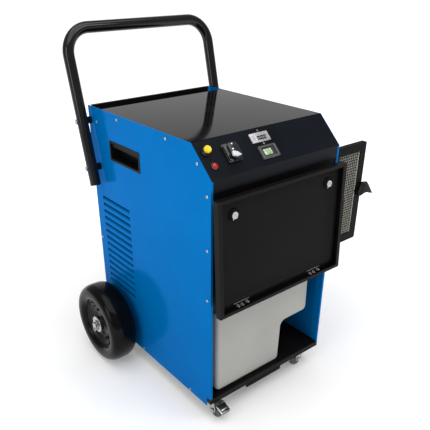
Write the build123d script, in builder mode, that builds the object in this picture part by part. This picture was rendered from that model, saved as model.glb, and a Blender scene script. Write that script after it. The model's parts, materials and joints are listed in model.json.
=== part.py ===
from build123d import *
import os
from math import atan2, cos, hypot, radians, sin, tan

# A wheeled commercial dehumidifier, in millimetres, +Z up, standing on z = 0.
# It is drawn in the cabinet's own frame (x = 0 and y = 0 in the middle of the cabinet, front at -Y)
# and every finished piece is moved by PLACE, so that the origin is the bottom centre of the whole object.

# ---------------------------------------------------------------- driving dimensions
WIDTH = 440
DEPTH = 562
PANEL_HEIGHT = 745
FLOOR_GAP = 52
SHEET = 1.5
SLOPE_DEPTH = 74
SLOPE_DROP = 70
LIP_HEIGHT = 33
HEM_WIDTH = 5
HEM_DEPTH = 27
GUTTER_START = 207
GUTTER_DEPTH = 30

WHEEL_RADIUS = 130
WHEEL_WIDTH = 85
WHEEL_X = 282
WHEEL_Y = 182
AXLE_RADIUS = 10
AXLE_END = 329

CASTER_X = 185
CASTER_Y = -243
CASTER_RADIUS = 25
CASTER_TRAIL = 24

TUBE_RADIUS = 16
TUBE_WALL = 2
HANDLE_X = 246
HANDLE_LOW = 578
HANDLE_TOP = 996
HANDLE_LEAN = 13
HANDLE_BEND = 72
HANDLE_Y_LOW = 231.5

DOOR_HALF = 223
DOOR_HEIGHT = 309
DOOR_DEPTH = 17.5
DOOR_LEAN = 2.6
DOOR_BACK = 3.5
DOOR_FOOT = 3
HINGE_Y = -303
HINGE_Z = 372

FILTER_Y = -258
FILTER_WIDTH = 140
FILTER_LOW = 400
FILTER_HEIGHT = 304
FILTER_FRAME = 25
FILTER_THICK = 14
LATCH_REACH = 65

RUNNING = 0.05

# ---------------------------------------------------------------- derived dimensions
HALF = WIDTH / 2
FRONT = -DEPTH / 2
BACK = DEPTH / 2
LOW = FLOOR_GAP
TOP = LOW + PANEL_HEIGHT
SLOPE_LOW = TOP - SLOPE_DROP
SLOPE_BACK = FRONT + SLOPE_DEPTH
SLOPE_LENGTH = hypot(SLOPE_DEPTH, SLOPE_DROP)
SLOPE_ANGLE = atan2(SLOPE_DROP, SLOPE_DEPTH)
INSIDE = HALF - SHEET - HEM_WIDTH - 0.5
TRAY_LOW = LOW + 20.5
TRAY_FLOOR = TRAY_LOW + SHEET
SILL_TOP = LOW + 31
SILL_LOW = LOW + 14
SILL_DEPTH = 17
LIP_LOW = SLOPE_LOW - LIP_HEIGHT
CEILING = LOW + 320
BAY_BACK = -8
HANDLE_SLOPE = tan(radians(HANDLE_LEAN))
WHEEL_AXIS = Axis((0, WHEEL_Y, WHEEL_RADIUS), (1, 0, 0))

# The whole object reaches from the left axle end to the filter latch's wing,
# and from the raised tank door to the handle.
REACH_LEFT = -AXLE_END
FILTER_PIN_X = HALF + 8
FILTER_PIN_Y = FILTER_Y + FILTER_THICK / 2
FILTER_X = FILTER_PIN_X + 5
LATCH_X = FILTER_X + FILTER_WIDTH - FILTER_FRAME / 2
REACH_RIGHT = LATCH_X + LATCH_REACH
DOOR_RISE = DOOR_FOOT * sin(radians(DOOR_LEAN))
REACH_FRONT = HINGE_Y - (DOOR_BACK + DOOR_DEPTH) * cos(radians(DOOR_LEAN)) + DOOR_RISE
HANDLE_Y_TOP = HANDLE_Y_LOW + (HANDLE_TOP - HANDLE_LOW) * HANDLE_SLOPE
REACH_BACK = HANDLE_Y_TOP + TUBE_RADIUS
PLACE = Location((-(REACH_LEFT + REACH_RIGHT) / 2, -(REACH_FRONT + REACH_BACK) / 2, 0))

# Planes: the console's slope and the two doors' own frames.
CONSOLE = Plane(
    origin=(0, FRONT, SLOPE_LOW), x_dir=(1, 0, 0), z_dir=(0, -sin(SLOPE_ANGLE), cos(SLOPE_ANGLE))
)
DOOR = Plane(
    origin=(0, HINGE_Y, HINGE_Z),
    x_dir=(1, 0, 0),
    z_dir=(0, -cos(radians(DOOR_LEAN)), sin(radians(DOOR_LEAN))),
)

os.makedirs("parts", exist_ok=True)


# ---------------------------------------------------------------- helpers
def keep(piece, node):
    """Label a finished piece, move it to the object's frame and write its STEP file."""
    piece.part.label = node
    export_step(piece.part.moved(PLACE), f"parts/{node}.step")


def box(x0, x1, y0, y1, z0, z1, mode=Mode.ADD):
    """A box between two corners, in the part being built."""
    with Locations(((x0 + x1) / 2, (y0 + y1) / 2, (z0 + z1) / 2)):
        Box(abs(x1 - x0), abs(y1 - y0), abs(z1 - z0), mode=mode)


def rod(centre, axis, radius, length, mode=Mode.ADD):
    """A cylinder about a point, along X, Y or Z."""
    turn = {"X": (0, 90, 0), "Y": (90, 0, 0), "Z": (0, 0, 0)}[axis]
    with Locations(Location(centre, turn)):
        Cylinder(radius, length, mode=mode)


# ---------------------------------------------------------------- side panels
GRIP_Y = 94
GRIP_Z = LOW + 638
GRIP_LENGTH = 148
GRIP_HEIGHT = 50
LOUVRES = 14
LOUVRE_PITCH = 22.2
LOUVRE_FIRST = LOW + 480
LOUVRE_Y = 166
LOUVRE_LENGTH = 156
LOUVRE_HEIGHT = 13
LOUVRE_PUSH = 6
INLET_Y = (-240, -110)
INLET_Z = (FILTER_LOW + 10, FILTER_LOW + FILTER_HEIGHT - 10)


def panel_screw_places():
    """Screw centres (y, z) on a side panel."""
    edge = 12
    return [
        (FRONT + edge, LOW + 634),
        (FRONT + edge, LOW + 495),
        (FRONT + edge, LOW + 354),
        (SLOPE_BACK - 26, SLOPE_LOW + 28),
        (-109, TOP - edge),
        (119, TOP - edge),
        (BACK - 44, TOP - 40),
        (-188, LOW + 8),
        (60, LOW + 8),
        (BACK - edge, LOW + 330),
        (BACK - edge, LOW + 60),
    ]


def side_panel(side, node):
    """Folded side sheet: five-sided plate, a hem down its front edge, grip cut-out and air openings."""
    outer = side * HALF
    inner = side * (HALF - SHEET)
    with BuildPart() as panel:
        with BuildSketch(Plane.YZ.offset(min(outer, inner))):
            with BuildLine():
                Polyline(
                    (FRONT, LOW), (FRONT, SLOPE_LOW), (SLOPE_BACK, TOP), (BACK, TOP), (BACK, LOW), close=True
                )
            make_face()
        extrude(amount=SHEET)
        hem = side * (HALF - SHEET - HEM_WIDTH)
        box(inner, hem, FRONT, FRONT + SHEET, SILL_TOP + 0.3, SLOPE_LOW - 3)
        box(hem, hem + side * SHEET, FRONT, FRONT + HEM_DEPTH, SILL_TOP + 0.3, SLOPE_LOW - 3)
        rear_fold = side * (HALF - SHEET - 14)
        box(inner, rear_fold, BACK - SHEET, BACK, LOW + 2, TOP - 20)
        through = (outer + side, inner - side)
        # The sill's ends show through a notch in the lower front corner.
        box(*through, FRONT - 1, FRONT + SILL_DEPTH + 0.3, LOW - 1, SILL_TOP + 0.3, mode=Mode.SUBTRACT)
        box(
            *through, GRIP_Y - GRIP_LENGTH / 2, GRIP_Y + GRIP_LENGTH / 2,
            GRIP_Z - GRIP_HEIGHT / 2, GRIP_Z + GRIP_HEIGHT / 2, mode=Mode.SUBTRACT,
        )
        rod((inner, WHEEL_Y, WHEEL_RADIUS), "X", AXLE_RADIUS + 0.5, 8, Mode.SUBTRACT)
        for y, z in panel_screw_places():
            rod((inner, y, z), "X", 2.1, 8, Mode.SUBTRACT)
        for bolt_z in HANDLE_BOLTS:
            rod((inner, handle_y(bolt_z), bolt_z), "X", 4.3, 8, Mode.SUBTRACT)
        if side > 0:
            box(*through, *INLET_Y, *INLET_Z, mode=Mode.SUBTRACT)
        else:
            # Louvres pressed inwards: each is a slot whose lower sheet slopes in, open along its upper edge.
            y0 = LOUVRE_Y - LOUVRE_LENGTH / 2
            y1 = LOUVRE_Y + LOUVRE_LENGTH / 2
            tops = [LOUVRE_FIRST - i * LOUVRE_PITCH for i in range(LOUVRES)]
            for z in tops:
                box(outer - 1, inner + 1, y0, y1, z - LOUVRE_HEIGHT, z, mode=Mode.SUBTRACT)
            with BuildSketch(Plane.XZ.offset(-y1)):
                for z in tops:
                    foot = z - LOUVRE_HEIGHT
                    Polygon(
                        (outer, foot - 0.5), (outer, foot + 0.5), (outer + LOUVRE_PUSH, z - 1),
                        (outer + LOUVRE_PUSH + SHEET, z - 1.5), (inner, foot - 0.5), align=None,
                    )
            extrude(amount=LOUVRE_LENGTH)
            for end in (y0 + SHEET, y1):
                with BuildSketch(Plane.XZ.offset(-end)):
                    for z in tops:
                        foot = z - LOUVRE_HEIGHT
                        Polygon(
                            (outer, foot - 0.5), (outer, z + 0.5), (inner, z + 0.5),
                            (outer + LOUVRE_PUSH + SHEET, z - 1.5), (inner, foot - 0.5), align=None,
                        )
                extrude(amount=SHEET)
    keep(panel, node)


def grip_cups():
    """Moulded hand-holds: a flanged cup set into each side panel, open outwards."""
    half_y = GRIP_LENGTH / 2 - 0.3
    half_z = GRIP_HEIGHT / 2 - 0.3
    wall = 2.2
    rim = 4
    with BuildPart() as cups:
        for side in (-1, 1):
            face = side * (HALF + 1.2)
            depth = side * (HALF - 32)
            box(face, depth, GRIP_Y - half_y, GRIP_Y + half_y, GRIP_Z - half_z, GRIP_Z + half_z)
            box(
                face, side * HALF, GRIP_Y - half_y - rim, GRIP_Y + half_y + rim,
                GRIP_Z - half_z - rim, GRIP_Z + half_z + rim,
            )
        fillet(cups.edges().filter_by(Axis.X), 4)
        for side in (-1, 1):
            face = side * (HALF + 1.2)
            depth = side * (HALF - 32)
            box(
                face + side, depth + side * wall, GRIP_Y - half_y + wall, GRIP_Y + half_y - wall,
                GRIP_Z - half_z + wall, GRIP_Z + half_z - wall, mode=Mode.SUBTRACT,
            )
            # The lip that fingers curl behind.
            box(
                side * (HALF - 4), side * (HALF - 6), GRIP_Y - half_y + 1, GRIP_Y + half_y - 1,
                GRIP_Z + half_z - 14, GRIP_Z + half_z - 1,
            )
    keep(cups, "grip_cups")


def tray_screw_places():
    """Where screws stand on the tank's deck and on the base tray's floor."""
    return [(100, -200, SILL_TOP), (175, -150, SILL_TOP), (100, 240, TRAY_FLOOR), (-100, 240, TRAY_FLOOR)]


def cabinet_screws():
    """Pan-head screws of the side panels, the base tray and the hour meter."""
    with BuildPart() as screws:
        for side in (-1, 1):
            for y, z in panel_screw_places():
                rod((side * (HALF + 1.3), y, z), "X", 4, 2.6)
                rod((side * (HALF - 2), y, z), "X", 1.9, 4)
        outer = screws.faces().filter_by(Axis.X).group_by(Axis.X)
        fillet((outer[0] + outer[-1]).edges(), 1.1)
        for side in (-1, 1):
            cross = (side * (HALF + 1.6), side * (HALF + 3))
            for y, z in panel_screw_places():
                box(*cross, y - 2.2, y + 2.2, z - 0.5, z + 0.5, mode=Mode.SUBTRACT)
                box(*cross, y - 0.5, y + 0.5, z - 2.2, z + 2.2, mode=Mode.SUBTRACT)
        for place in tray_screw_places():
            with Locations(place):
                Cone(4.5, 3, 2.8, align=(Align.CENTER, Align.CENTER, Align.MIN))
        with BuildSketch(CONSOLE):
            with Locations((METER_AT[0] + 4, 94), (METER_AT[0] + 2.5, 57)):
                Circle(2.8)
        extrude(amount=2)
    keep(screws, "cabinet_screws")


# ---------------------------------------------------------------- handle
HANDLE_BOLTS = (LOW + 573, LOW + 704)


def handle_y(z):
    """Where the leaning handle's centre line is at a height."""
    return HANDLE_Y_LOW + (z - HANDLE_LOW) * HANDLE_SLOPE


def handle():
    """Bent tube with its end plugs, saddle spacers and through bolts."""
    with BuildPart() as tube:
        with BuildLine() as route:
            FilletPolyline(
                (-HANDLE_X, handle_y(HANDLE_LOW), HANDLE_LOW),
                (-HANDLE_X, HANDLE_Y_TOP, HANDLE_TOP),
                (HANDLE_X, HANDLE_Y_TOP, HANDLE_TOP),
                (HANDLE_X, handle_y(HANDLE_LOW), HANDLE_LOW),
                radius=HANDLE_BEND,
            )
        with BuildSketch(Plane(origin=route.line @ 0, z_dir=route.line % 0)):
            Circle(TUBE_RADIUS)
            Circle(TUBE_RADIUS - TUBE_WALL, mode=Mode.SUBTRACT)
        sweep()
        for side in (-1, 1):
            for z in HANDLE_BOLTS:
                rod((side * HANDLE_X, handle_y(z), z), "X", 4.3, 60, Mode.SUBTRACT)
    keep(tube, "handle_tube")

    with BuildPart() as fittings:
        for side in (-1, 1):
            for z in HANDLE_BOLTS:
                rod((side * (HALF + 8), handle_y(z), z), "X", 10, 16)
                rod((side * (HALF + 8), handle_y(z), z), "X", 4.3, 20, Mode.SUBTRACT)
            with Locations(Location((side * HANDLE_X, handle_y(660), 660), (-HANDLE_LEAN, 0, 0))):
                Cylinder(TUBE_RADIUS + 0.1, 400, mode=Mode.SUBTRACT)
            end = Plane(
                origin=(side * HANDLE_X, handle_y(HANDLE_LOW), HANDLE_LOW),
                x_dir=(1, 0, 0),
                z_dir=(0, -sin(radians(HANDLE_LEAN)), -cos(radians(HANDLE_LEAN))),
            )
            with BuildSketch(end):
                Circle(TUBE_RADIUS)
            extrude(amount=3)
            with BuildSketch(end):
                Circle(TUBE_RADIUS - TUBE_WALL - 0.1)
            extrude(amount=-14)
    keep(fittings, "handle_fittings")

    with BuildPart() as bolts:
        for side in (-1, 1):
            for z in HANDLE_BOLTS:
                outer = side * (HANDLE_X + TUBE_RADIUS)
                y = handle_y(z)
                with BuildSketch(Plane(origin=(outer, y, z), z_dir=(side, 0, 0))):
                    RegularPolygon(7.5, 6)
                extrude(amount=5.5)
                rod((side * (HALF + 15), y, z), "X", 4, 55)
                with BuildSketch(Plane(origin=(side * (HALF - SHEET), y, z), z_dir=(-side, 0, 0))):
                    RegularPolygon(7.5, 6)
                extrude(amount=6.5)
    keep(bolts, "handle_bolts")


# ---------------------------------------------------------------- covers and frame
def covers():
    """Top cover, control panel, upper front, rear panel and rear rail."""
    with BuildPart() as top_cover:
        box(-HALF + SHEET + 0.2, HALF - SHEET - 0.2, SLOPE_BACK + 2.5, GUTTER_START, TOP - SHEET, TOP)
        box(-INSIDE, INSIDE, GUTTER_START - SHEET, GUTTER_START, TOP - GUTTER_DEPTH, TOP)
        gutter_floor = TOP - GUTTER_DEPTH
        box(-INSIDE, INSIDE, GUTTER_START - SHEET, BACK - 12, gutter_floor, gutter_floor + SHEET)
        box(-INSIDE, INSIDE, SLOPE_BACK + 16, SLOPE_BACK + 16 + SHEET, TOP - 16, TOP)
    keep(top_cover, "top_cover")

    with BuildPart() as rear_panel:
        box(-204, 204, BACK - 3.2, BACK - 1.7, LOW + 10, TOP - 22)
        rod((-120, BACK, LOW + 120), "Y", 10.5, 10, Mode.SUBTRACT)
        box(-INSIDE, INSIDE, 271, BACK - 2, TOP - 1.5, TOP)
        box(-INSIDE, INSIDE, 271, 272.5, TOP - GUTTER_DEPTH + 2, TOP)
        fillet(rear_panel.edges().filter_by(Axis.X).group_by(Axis.Z)[-1].sort_by(Axis.Y)[0], 1.2)
        box(-200, 200, 272, BACK - 2, TOP - 25, TOP - 23.5)
        box(-200, 200, BACK - 3.2, BACK - 1.7, TOP - 25, TOP - 1)
    keep(rear_panel, "rear_panel")

    with BuildPart() as gland:
        rod((-120, BACK + 6, LOW + 120), "Y", 14, 12)
        rod((-120, BACK - 10, LOW + 120), "Y", 10.2, 24)
        rod((-120, BACK - 8, LOW + 120), "Y", 14, 6)
        rod((-120, BACK, LOW + 120), "Y", 5, 60, Mode.SUBTRACT)
        fillet(gland.edges().filter_by(GeomType.CIRCLE).group_by(Axis.Y)[-1].sort_by(SortBy.RADIUS)[-1], 3)
    keep(gland, "cable_gland")

    edge = HALF - SHEET - 0.2
    with BuildPart() as control_panel:
        with BuildSketch(CONSOLE.offset(-SHEET)):
            with Locations((0, SLOPE_LENGTH / 2)):
                Rectangle(2 * edge, SLOPE_LENGTH)
        extrude(amount=SHEET)
        box(-INSIDE - 0.2, INSIDE + 0.2, FRONT, FRONT + SHEET, LIP_LOW, SLOPE_LOW)
        box(-INSIDE, INSIDE, FRONT, FRONT + 14, LIP_LOW, LIP_LOW + SHEET)
        for x, u, w, h in CONSOLE_CUTS:
            with BuildSketch(CONSOLE.offset(2)):
                with Locations((x, u)):
                    Rectangle(w, h)
            extrude(amount=-6, mode=Mode.SUBTRACT)
        for x, u, r in ((*BUTTON_AT, 8.2), (*LAMP_AT, 6.2)):
            with BuildSketch(CONSOLE.offset(2)):
                with Locations((x, u)):
                    Circle(r)
            extrude(amount=-6, mode=Mode.SUBTRACT)
    keep(control_panel, "control_panel")

    recess = FRONT + 3.5
    with BuildPart() as upper_front:
        box(-INSIDE, INSIDE, recess, recess + SHEET, CEILING + 2, LIP_LOW - 0.5)
        box(-INSIDE, INSIDE, recess, recess + 10, CEILING + 2, CEILING + 2 + SHEET)
        box(-INSIDE, INSIDE, recess, recess + 8, LIP_LOW - 2, LIP_LOW - 0.5)
    keep(upper_front, "upper_front_panel")

    bumper = 16
    with BuildPart() as mounts:
        for x in (-150, 150):
            rod((x, recess - bumper / 2, CEILING + 280), "Y", 8, bumper)
        tips = mounts.faces().filter_by(Axis.Y).group_by(Axis.Y)[0]
        fillet(tips.edges(), 2)
        for x in (COMPRESSOR_X - 50, COMPRESSOR_X + 50):
            for y in (COMPRESSOR_Y - 50, COMPRESSOR_Y + 50):
                rod((x, y, TRAY_FLOOR + 9), "Z", 9, 18)
                rod((x, y, TRAY_FLOOR + 9), "Z", 3, 30, Mode.SUBTRACT)
    keep(mounts, "rubber_mounts")


COMPRESSOR_X = -90
COMPRESSOR_Y = 82


def base():
    """Base tray with its front sill and hanging toe tab, the bay's ceiling and its rear wall."""
    with BuildPart() as tray:
        box(-INSIDE, INSIDE, FRONT, BACK - 6, TRAY_LOW, TRAY_FLOOR)
        box(-HALF, HALF, FRONT, FRONT + SHEET, SILL_LOW, SILL_TOP)
        box(-HALF, HALF, FRONT, FRONT + SILL_DEPTH, SILL_TOP - SHEET, SILL_TOP)
        # The tank's deck is level with the top of the sill, so that the tank slides straight out.
        box(-INSIDE, INSIDE, FRONT, BAY_BACK - 0.2, SILL_TOP - SHEET, SILL_TOP)
        for x in (-100, 40, 150):
            box(x, x + SHEET, FRONT + 40, BAY_BACK - 12, TRAY_LOW, SILL_TOP)
        box(-INSIDE, INSIDE, BACK - 6 - SHEET, BACK - 6, TRAY_LOW, SILL_TOP)
        for side in (-1, 1):
            box(side * HALF, side * (HALF - SHEET), FRONT, FRONT + SILL_DEPTH, SILL_LOW, SILL_TOP)
            box(side * INSIDE, side * (INSIDE - SHEET), FRONT, BACK - 6, TRAY_LOW, TRAY_LOW + 14)
        # The toe tab hangs just behind the sill, with its lower edge folded forward.
        with BuildSketch(Plane.XZ.offset(-FRONT - 9.5)):
            with Locations((-8, LOW + 7.15)):
                RectangleRounded(142, 26.3, 5)
        extrude(amount=SHEET)
        with BuildSketch(Plane.XZ.offset(-FRONT - 8.1)):
            with Locations((-8, LOW - 1.5)):
                RectangleRounded(140, 8, 3.5)
        extrude(amount=1.2)
        for side in (-1, 1):
            rod((side * CASTER_X, CASTER_Y, TRAY_FLOOR), "Z", 5.2, 12, Mode.SUBTRACT)
    keep(tray, "base_tray")

    with BuildPart() as liner:
        box(-INSIDE, INSIDE, FRONT + 3.5, BAY_BACK, CEILING, CEILING + SHEET)
        box(-INSIDE, INSIDE, FRONT + 3.5, FRONT + 5, CEILING - 8, CEILING)
        rod((SPOUT_X, SPOUT_Y, CEILING), "Z", 10, 8, Mode.SUBTRACT)
        box(-INSIDE + 4, INSIDE - 4, BAY_BACK, BAY_BACK + SHEET, TRAY_FLOOR, CEILING + SHEET)
        box(-INSIDE + 4, INSIDE - 4, BAY_BACK, BAY_BACK + 14, TRAY_FLOOR, TRAY_FLOOR + SHEET)
    keep(liner, "bay_liner")


# ---------------------------------------------------------------- console parts
BUTTON_AT = (-194, 71.5)
LAMP_AT = (-191, 31.5)
SWITCH_AT = (-128.5, 53)
SWITCH_BLOCK_AT = (-124, 54)
KNOB_AT = (-130, 42)
METER_AT = (-24.5, 75)
DISPLAY_AT = (-20.5, 33)
CONSOLE_CUTS = ((*SWITCH_AT, 36, 40), (*METER_AT, 46, 18), (*DISPLAY_AT, 46, 27))


def console_parts():
    """What is set into the control panel."""
    with BuildPart() as skirt:
        with BuildSketch(CONSOLE):
            with Locations(BUTTON_AT):
                Circle(12)
                Circle(9.05, mode=Mode.SUBTRACT)
        extrude(amount=9)
        fillet(skirt.edges().filter_by(GeomType.CIRCLE).group_by(SortBy.RADIUS)[-1], 1)
        with BuildSketch(CONSOLE.offset(-16)):
            with Locations(BUTTON_AT):
                Circle(8)
                Circle(6, mode=Mode.SUBTRACT)
        extrude(amount=16)
        with BuildSketch(CONSOLE):
            with Locations(BUTTON_AT):
                Circle(9.5)
                Circle(6, mode=Mode.SUBTRACT)
        extrude(amount=1.5)
        with BuildSketch(CONSOLE):
            with Locations(LAMP_AT):
                Circle(10)
                Circle(7.6, mode=Mode.SUBTRACT)
        extrude(amount=3)
    keep(skirt, "console_bezels")

    with BuildPart() as cap:
        with BuildSketch(CONSOLE.offset(6)):
            with Locations(BUTTON_AT):
                Circle(9)
        extrude(amount=9.5)
        with BuildSketch(CONSOLE.offset(-10)):
            with Locations(BUTTON_AT):
                Circle(5)
        extrude(amount=17)
        fillet(cap.edges().filter_by(GeomType.CIRCLE).sort_by(Axis(CONSOLE.origin, CONSOLE.z_dir))[-1], 2)
    keep(cap, "yellow_button")

    with BuildPart() as lens:
        with BuildSketch(CONSOLE):
            with Locations(LAMP_AT):
                Circle(7.5)
        extrude(amount=8)
        fillet(lens.edges().filter_by(GeomType.CIRCLE).sort_by(Axis(CONSOLE.origin, CONSOLE.z_dir))[-1], 5.5)
        with BuildSketch(CONSOLE):
            with Locations(LAMP_AT):
                Circle(6)
        extrude(amount=-14)
    keep(lens, "red_lamp")

    with BuildPart() as base_plate:
        with BuildSketch(CONSOLE):
            with Locations(SWITCH_AT):
                RectangleRounded(43, 49, 6)
        extrude(amount=9)
        with BuildSketch(CONSOLE.offset(9)):
            with Locations(SWITCH_BLOCK_AT):
                RectangleRounded(30, 42, 8)
        extrude(amount=5)
        with BuildSketch(CONSOLE):
            with Locations(SWITCH_AT):
                Rectangle(35, 39)
        extrude(amount=-30)
        with BuildSketch(CONSOLE.offset(14)):
            with Locations(KNOB_AT):
                Circle(4.05)
        extrude(amount=-12, mode=Mode.SUBTRACT)
    keep(base_plate, "switch_base")

    with BuildPart() as knob:
        with BuildSketch(CONSOLE.offset(14.3)):
            with Locations(KNOB_AT):
                Circle(11.5)
        extrude(amount=5)
        with BuildSketch(CONSOLE.offset(19.3)):
            with Locations(Location(KNOB_AT, -22)):
                Polygon((-12, -5), (-5, -7), (2, -6), (13, 0), (2, 6), (-5, 7), (-12, 5), align=None)
        extrude(amount=7)
        with BuildSketch(CONSOLE.offset(3)):
            with Locations(KNOB_AT):
                Circle(4)
        extrude(amount=12)
    keep(knob, "switch_knob")

    with BuildPart() as meter:
        with BuildSketch(CONSOLE):
            with Locations(METER_AT):
                RectangleRounded(60, 26, 2)
        extrude(amount=4)
        fillet(meter.edges().sort_by(Axis(CONSOLE.origin, CONSOLE.z_dir))[-8:], 0.8)
        with BuildSketch(CONSOLE.offset(4)):
            with Locations((METER_AT[0] + 4.5, METER_AT[1] - 2)):
                Rectangle(29, 11)
        extrude(amount=-2.5, mode=Mode.SUBTRACT)
        with BuildSketch(CONSOLE):
            with Locations(METER_AT):
                Rectangle(45, 17)
        extrude(amount=-22)
    keep(meter, "hour_meter")

    with BuildPart() as display:
        with BuildSketch(CONSOLE):
            with Locations(DISPLAY_AT):
                RectangleRounded(56, 36, 3)
        extrude(amount=6)
        fillet(display.edges().sort_by(Axis(CONSOLE.origin, CONSOLE.z_dir))[-8:], 1)
        with BuildSketch(CONSOLE.offset(6)):
            with Locations(DISPLAY_AT):
                Rectangle(42, 24)
        extrude(amount=-4, mode=Mode.SUBTRACT)
        with BuildSketch(CONSOLE):
            with Locations(DISPLAY_AT):
                Rectangle(45, 26)
        extrude(amount=-18)
    keep(display, "display_bezel")

    with BuildPart() as screen:
        with BuildSketch(CONSOLE.offset(2)):
            with Locations(DISPLAY_AT):
                Rectangle(31, 15)
        extrude(amount=1.5)
        with BuildSketch(CONSOLE.offset(1.5)):
            with Locations((METER_AT[0] + 4.5, METER_AT[1] - 2)):
                Rectangle(28, 10)
        extrude(amount=1)
    keep(screen, "display_screens")


# ---------------------------------------------------------------- tank door, flipped up
def tank_door():
    """Shallow pan door with liner, seal, two quarter-turn locks and hinge leaves, in the door's own frame."""
    back = DOOR_BACK
    skin = back + 1.2
    foot = DOOR_FOOT
    with BuildPart() as pan:
        with BuildSketch(DOOR.offset(back)):
            with Locations((0, foot + DOOR_HEIGHT / 2)):
                Rectangle(2 * DOOR_HALF, DOOR_HEIGHT)
        extrude(amount=DOOR_DEPTH)
        with BuildSketch(DOOR.offset(skin)):
            with Locations((0, foot + DOOR_HEIGHT / 2)):
                Rectangle(2 * DOOR_HALF - 3, DOOR_HEIGHT - 3)
        extrude(amount=DOOR_DEPTH, mode=Mode.SUBTRACT)
        rim = back + DOOR_DEPTH
        with BuildSketch(DOOR.offset(rim - 1.5)):
            with Locations((0, foot + DOOR_HEIGHT / 2)):
                Rectangle(2 * DOOR_HALF, DOOR_HEIGHT)
                Rectangle(2 * DOOR_HALF - 24, DOOR_HEIGHT - 18, mode=Mode.SUBTRACT)
        extrude(amount=1.5)
        with BuildSketch(DOOR.offset(back)):
            with Locations(*LOCKS):
                Circle(9.5)
        extrude(amount=4, mode=Mode.SUBTRACT)
    keep(pan, "door_pan")

    with BuildPart() as liner:
        with BuildSketch(DOOR.offset(skin)):
            with Locations((-7, 165)):
                Rectangle(386, 262)
            with Locations(*LOCKS):
                Circle(9.5, mode=Mode.SUBTRACT)
        extrude(amount=2.5)
    keep(liner, "door_liner")

    with BuildPart() as seal:
        with BuildSketch(DOOR.offset(skin)):
            with Locations((0, 165)):
                Rectangle(418, 278)
            with Locations((-7, 165)):
                Rectangle(388, 264, mode=Mode.SUBTRACT)
        extrude(amount=1.5)
    keep(seal, "door_seal")

    with BuildPart() as cups:
        with BuildSketch(DOOR.offset(skin + 2.5)):
            with Locations(*LOCKS):
                Circle(15)
                Circle(9.05, mode=Mode.SUBTRACT)
        extrude(amount=4)
        with BuildSketch(DOOR.offset(back)):
            with Locations(*LOCKS):
                Circle(9.4)
                Circle(9.05, mode=Mode.SUBTRACT)
        extrude(amount=skin + 2.6 - back)
    keep(cups, "door_lock_cups")

    for (x, v), node in zip(LOCKS, ("door_lock_left", "door_lock_right")):
        with BuildPart() as lock:
            with BuildSketch(DOOR.offset(back + 0.2)):
                with Locations((x, v)):
                    Circle(9)
            extrude(amount=9.5)
            with BuildSketch(DOOR.offset(back + 9.7)):
                with Locations((x, v)):
                    Circle(8)
                with Locations(Location((x, v), -30)):
                    with Locations((0, -9)):
                        Rectangle(6, 10)
            extrude(amount=1.5)
            with BuildSketch(DOOR.offset(back + 0.2)):
                with Locations((x, v)):
                    Rectangle(2, 9)
            extrude(amount=1.5, mode=Mode.SUBTRACT)
        keep(lock, node)

    with BuildPart() as leaves:
        for x in DOOR_HINGES:
            with BuildSketch(DOOR.offset(1)):
                with Locations((x, foot - 0.75)):
                    Rectangle(24, 1.5)
            extrude(amount=17)
            with Locations(Location((x, HINGE_Y, HINGE_Z), (0, 90, 0))):
                Cylinder(2.9, 24)
            with Locations(Location((x, HINGE_Y, HINGE_Z), (0, 90, 0))):
                Cylinder(1.55, 30, mode=Mode.SUBTRACT)
        for x in DOOR_HINGES:
            for dx in (-7, 7):
                with BuildSketch(DOOR.offset(7)):
                    with Locations((x + dx, foot + 3.5)):
                        Rectangle(7, 4)
                extrude(amount=6)
    keep(leaves, "door_hinge_leaves")

    with BuildPart() as brackets:
        for x in DOOR_HINGES:
            for side in (-1, 1):
                mid = x + side * 18
                box(mid - 5, mid + 5, HINGE_Y + 1, FRONT + 3.5, CEILING - 1, CEILING + 1.5)
                box(mid - 5, mid + 5, FRONT + 1.5, FRONT + 3.5, CEILING - 1, CEILING + 24)
                with Locations(Location((mid, HINGE_Y, HINGE_Z), (0, 90, 0))):
                    Cylinder(2.9, 10)
                with Locations(Location((mid, HINGE_Y, HINGE_Z), (0, 90, 0))):
                    Cylinder(1.5, 14, mode=Mode.SUBTRACT)
            box(x - 23, x + 23, FRONT + 1.5, FRONT + 3.5, CEILING + 8, CEILING + 24)
            rod((x, HINGE_Y, HINGE_Z), "X", 1.5, 48)
            for side in (-1, 1):
                rod((x + side * 24.5, HINGE_Y, HINGE_Z), "X", 2.6, 2)
    keep(brackets, "door_hinge_brackets")


LOCKS = ((-166, 265), (166, 265))
DOOR_HINGES = (-135, 135)


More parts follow.
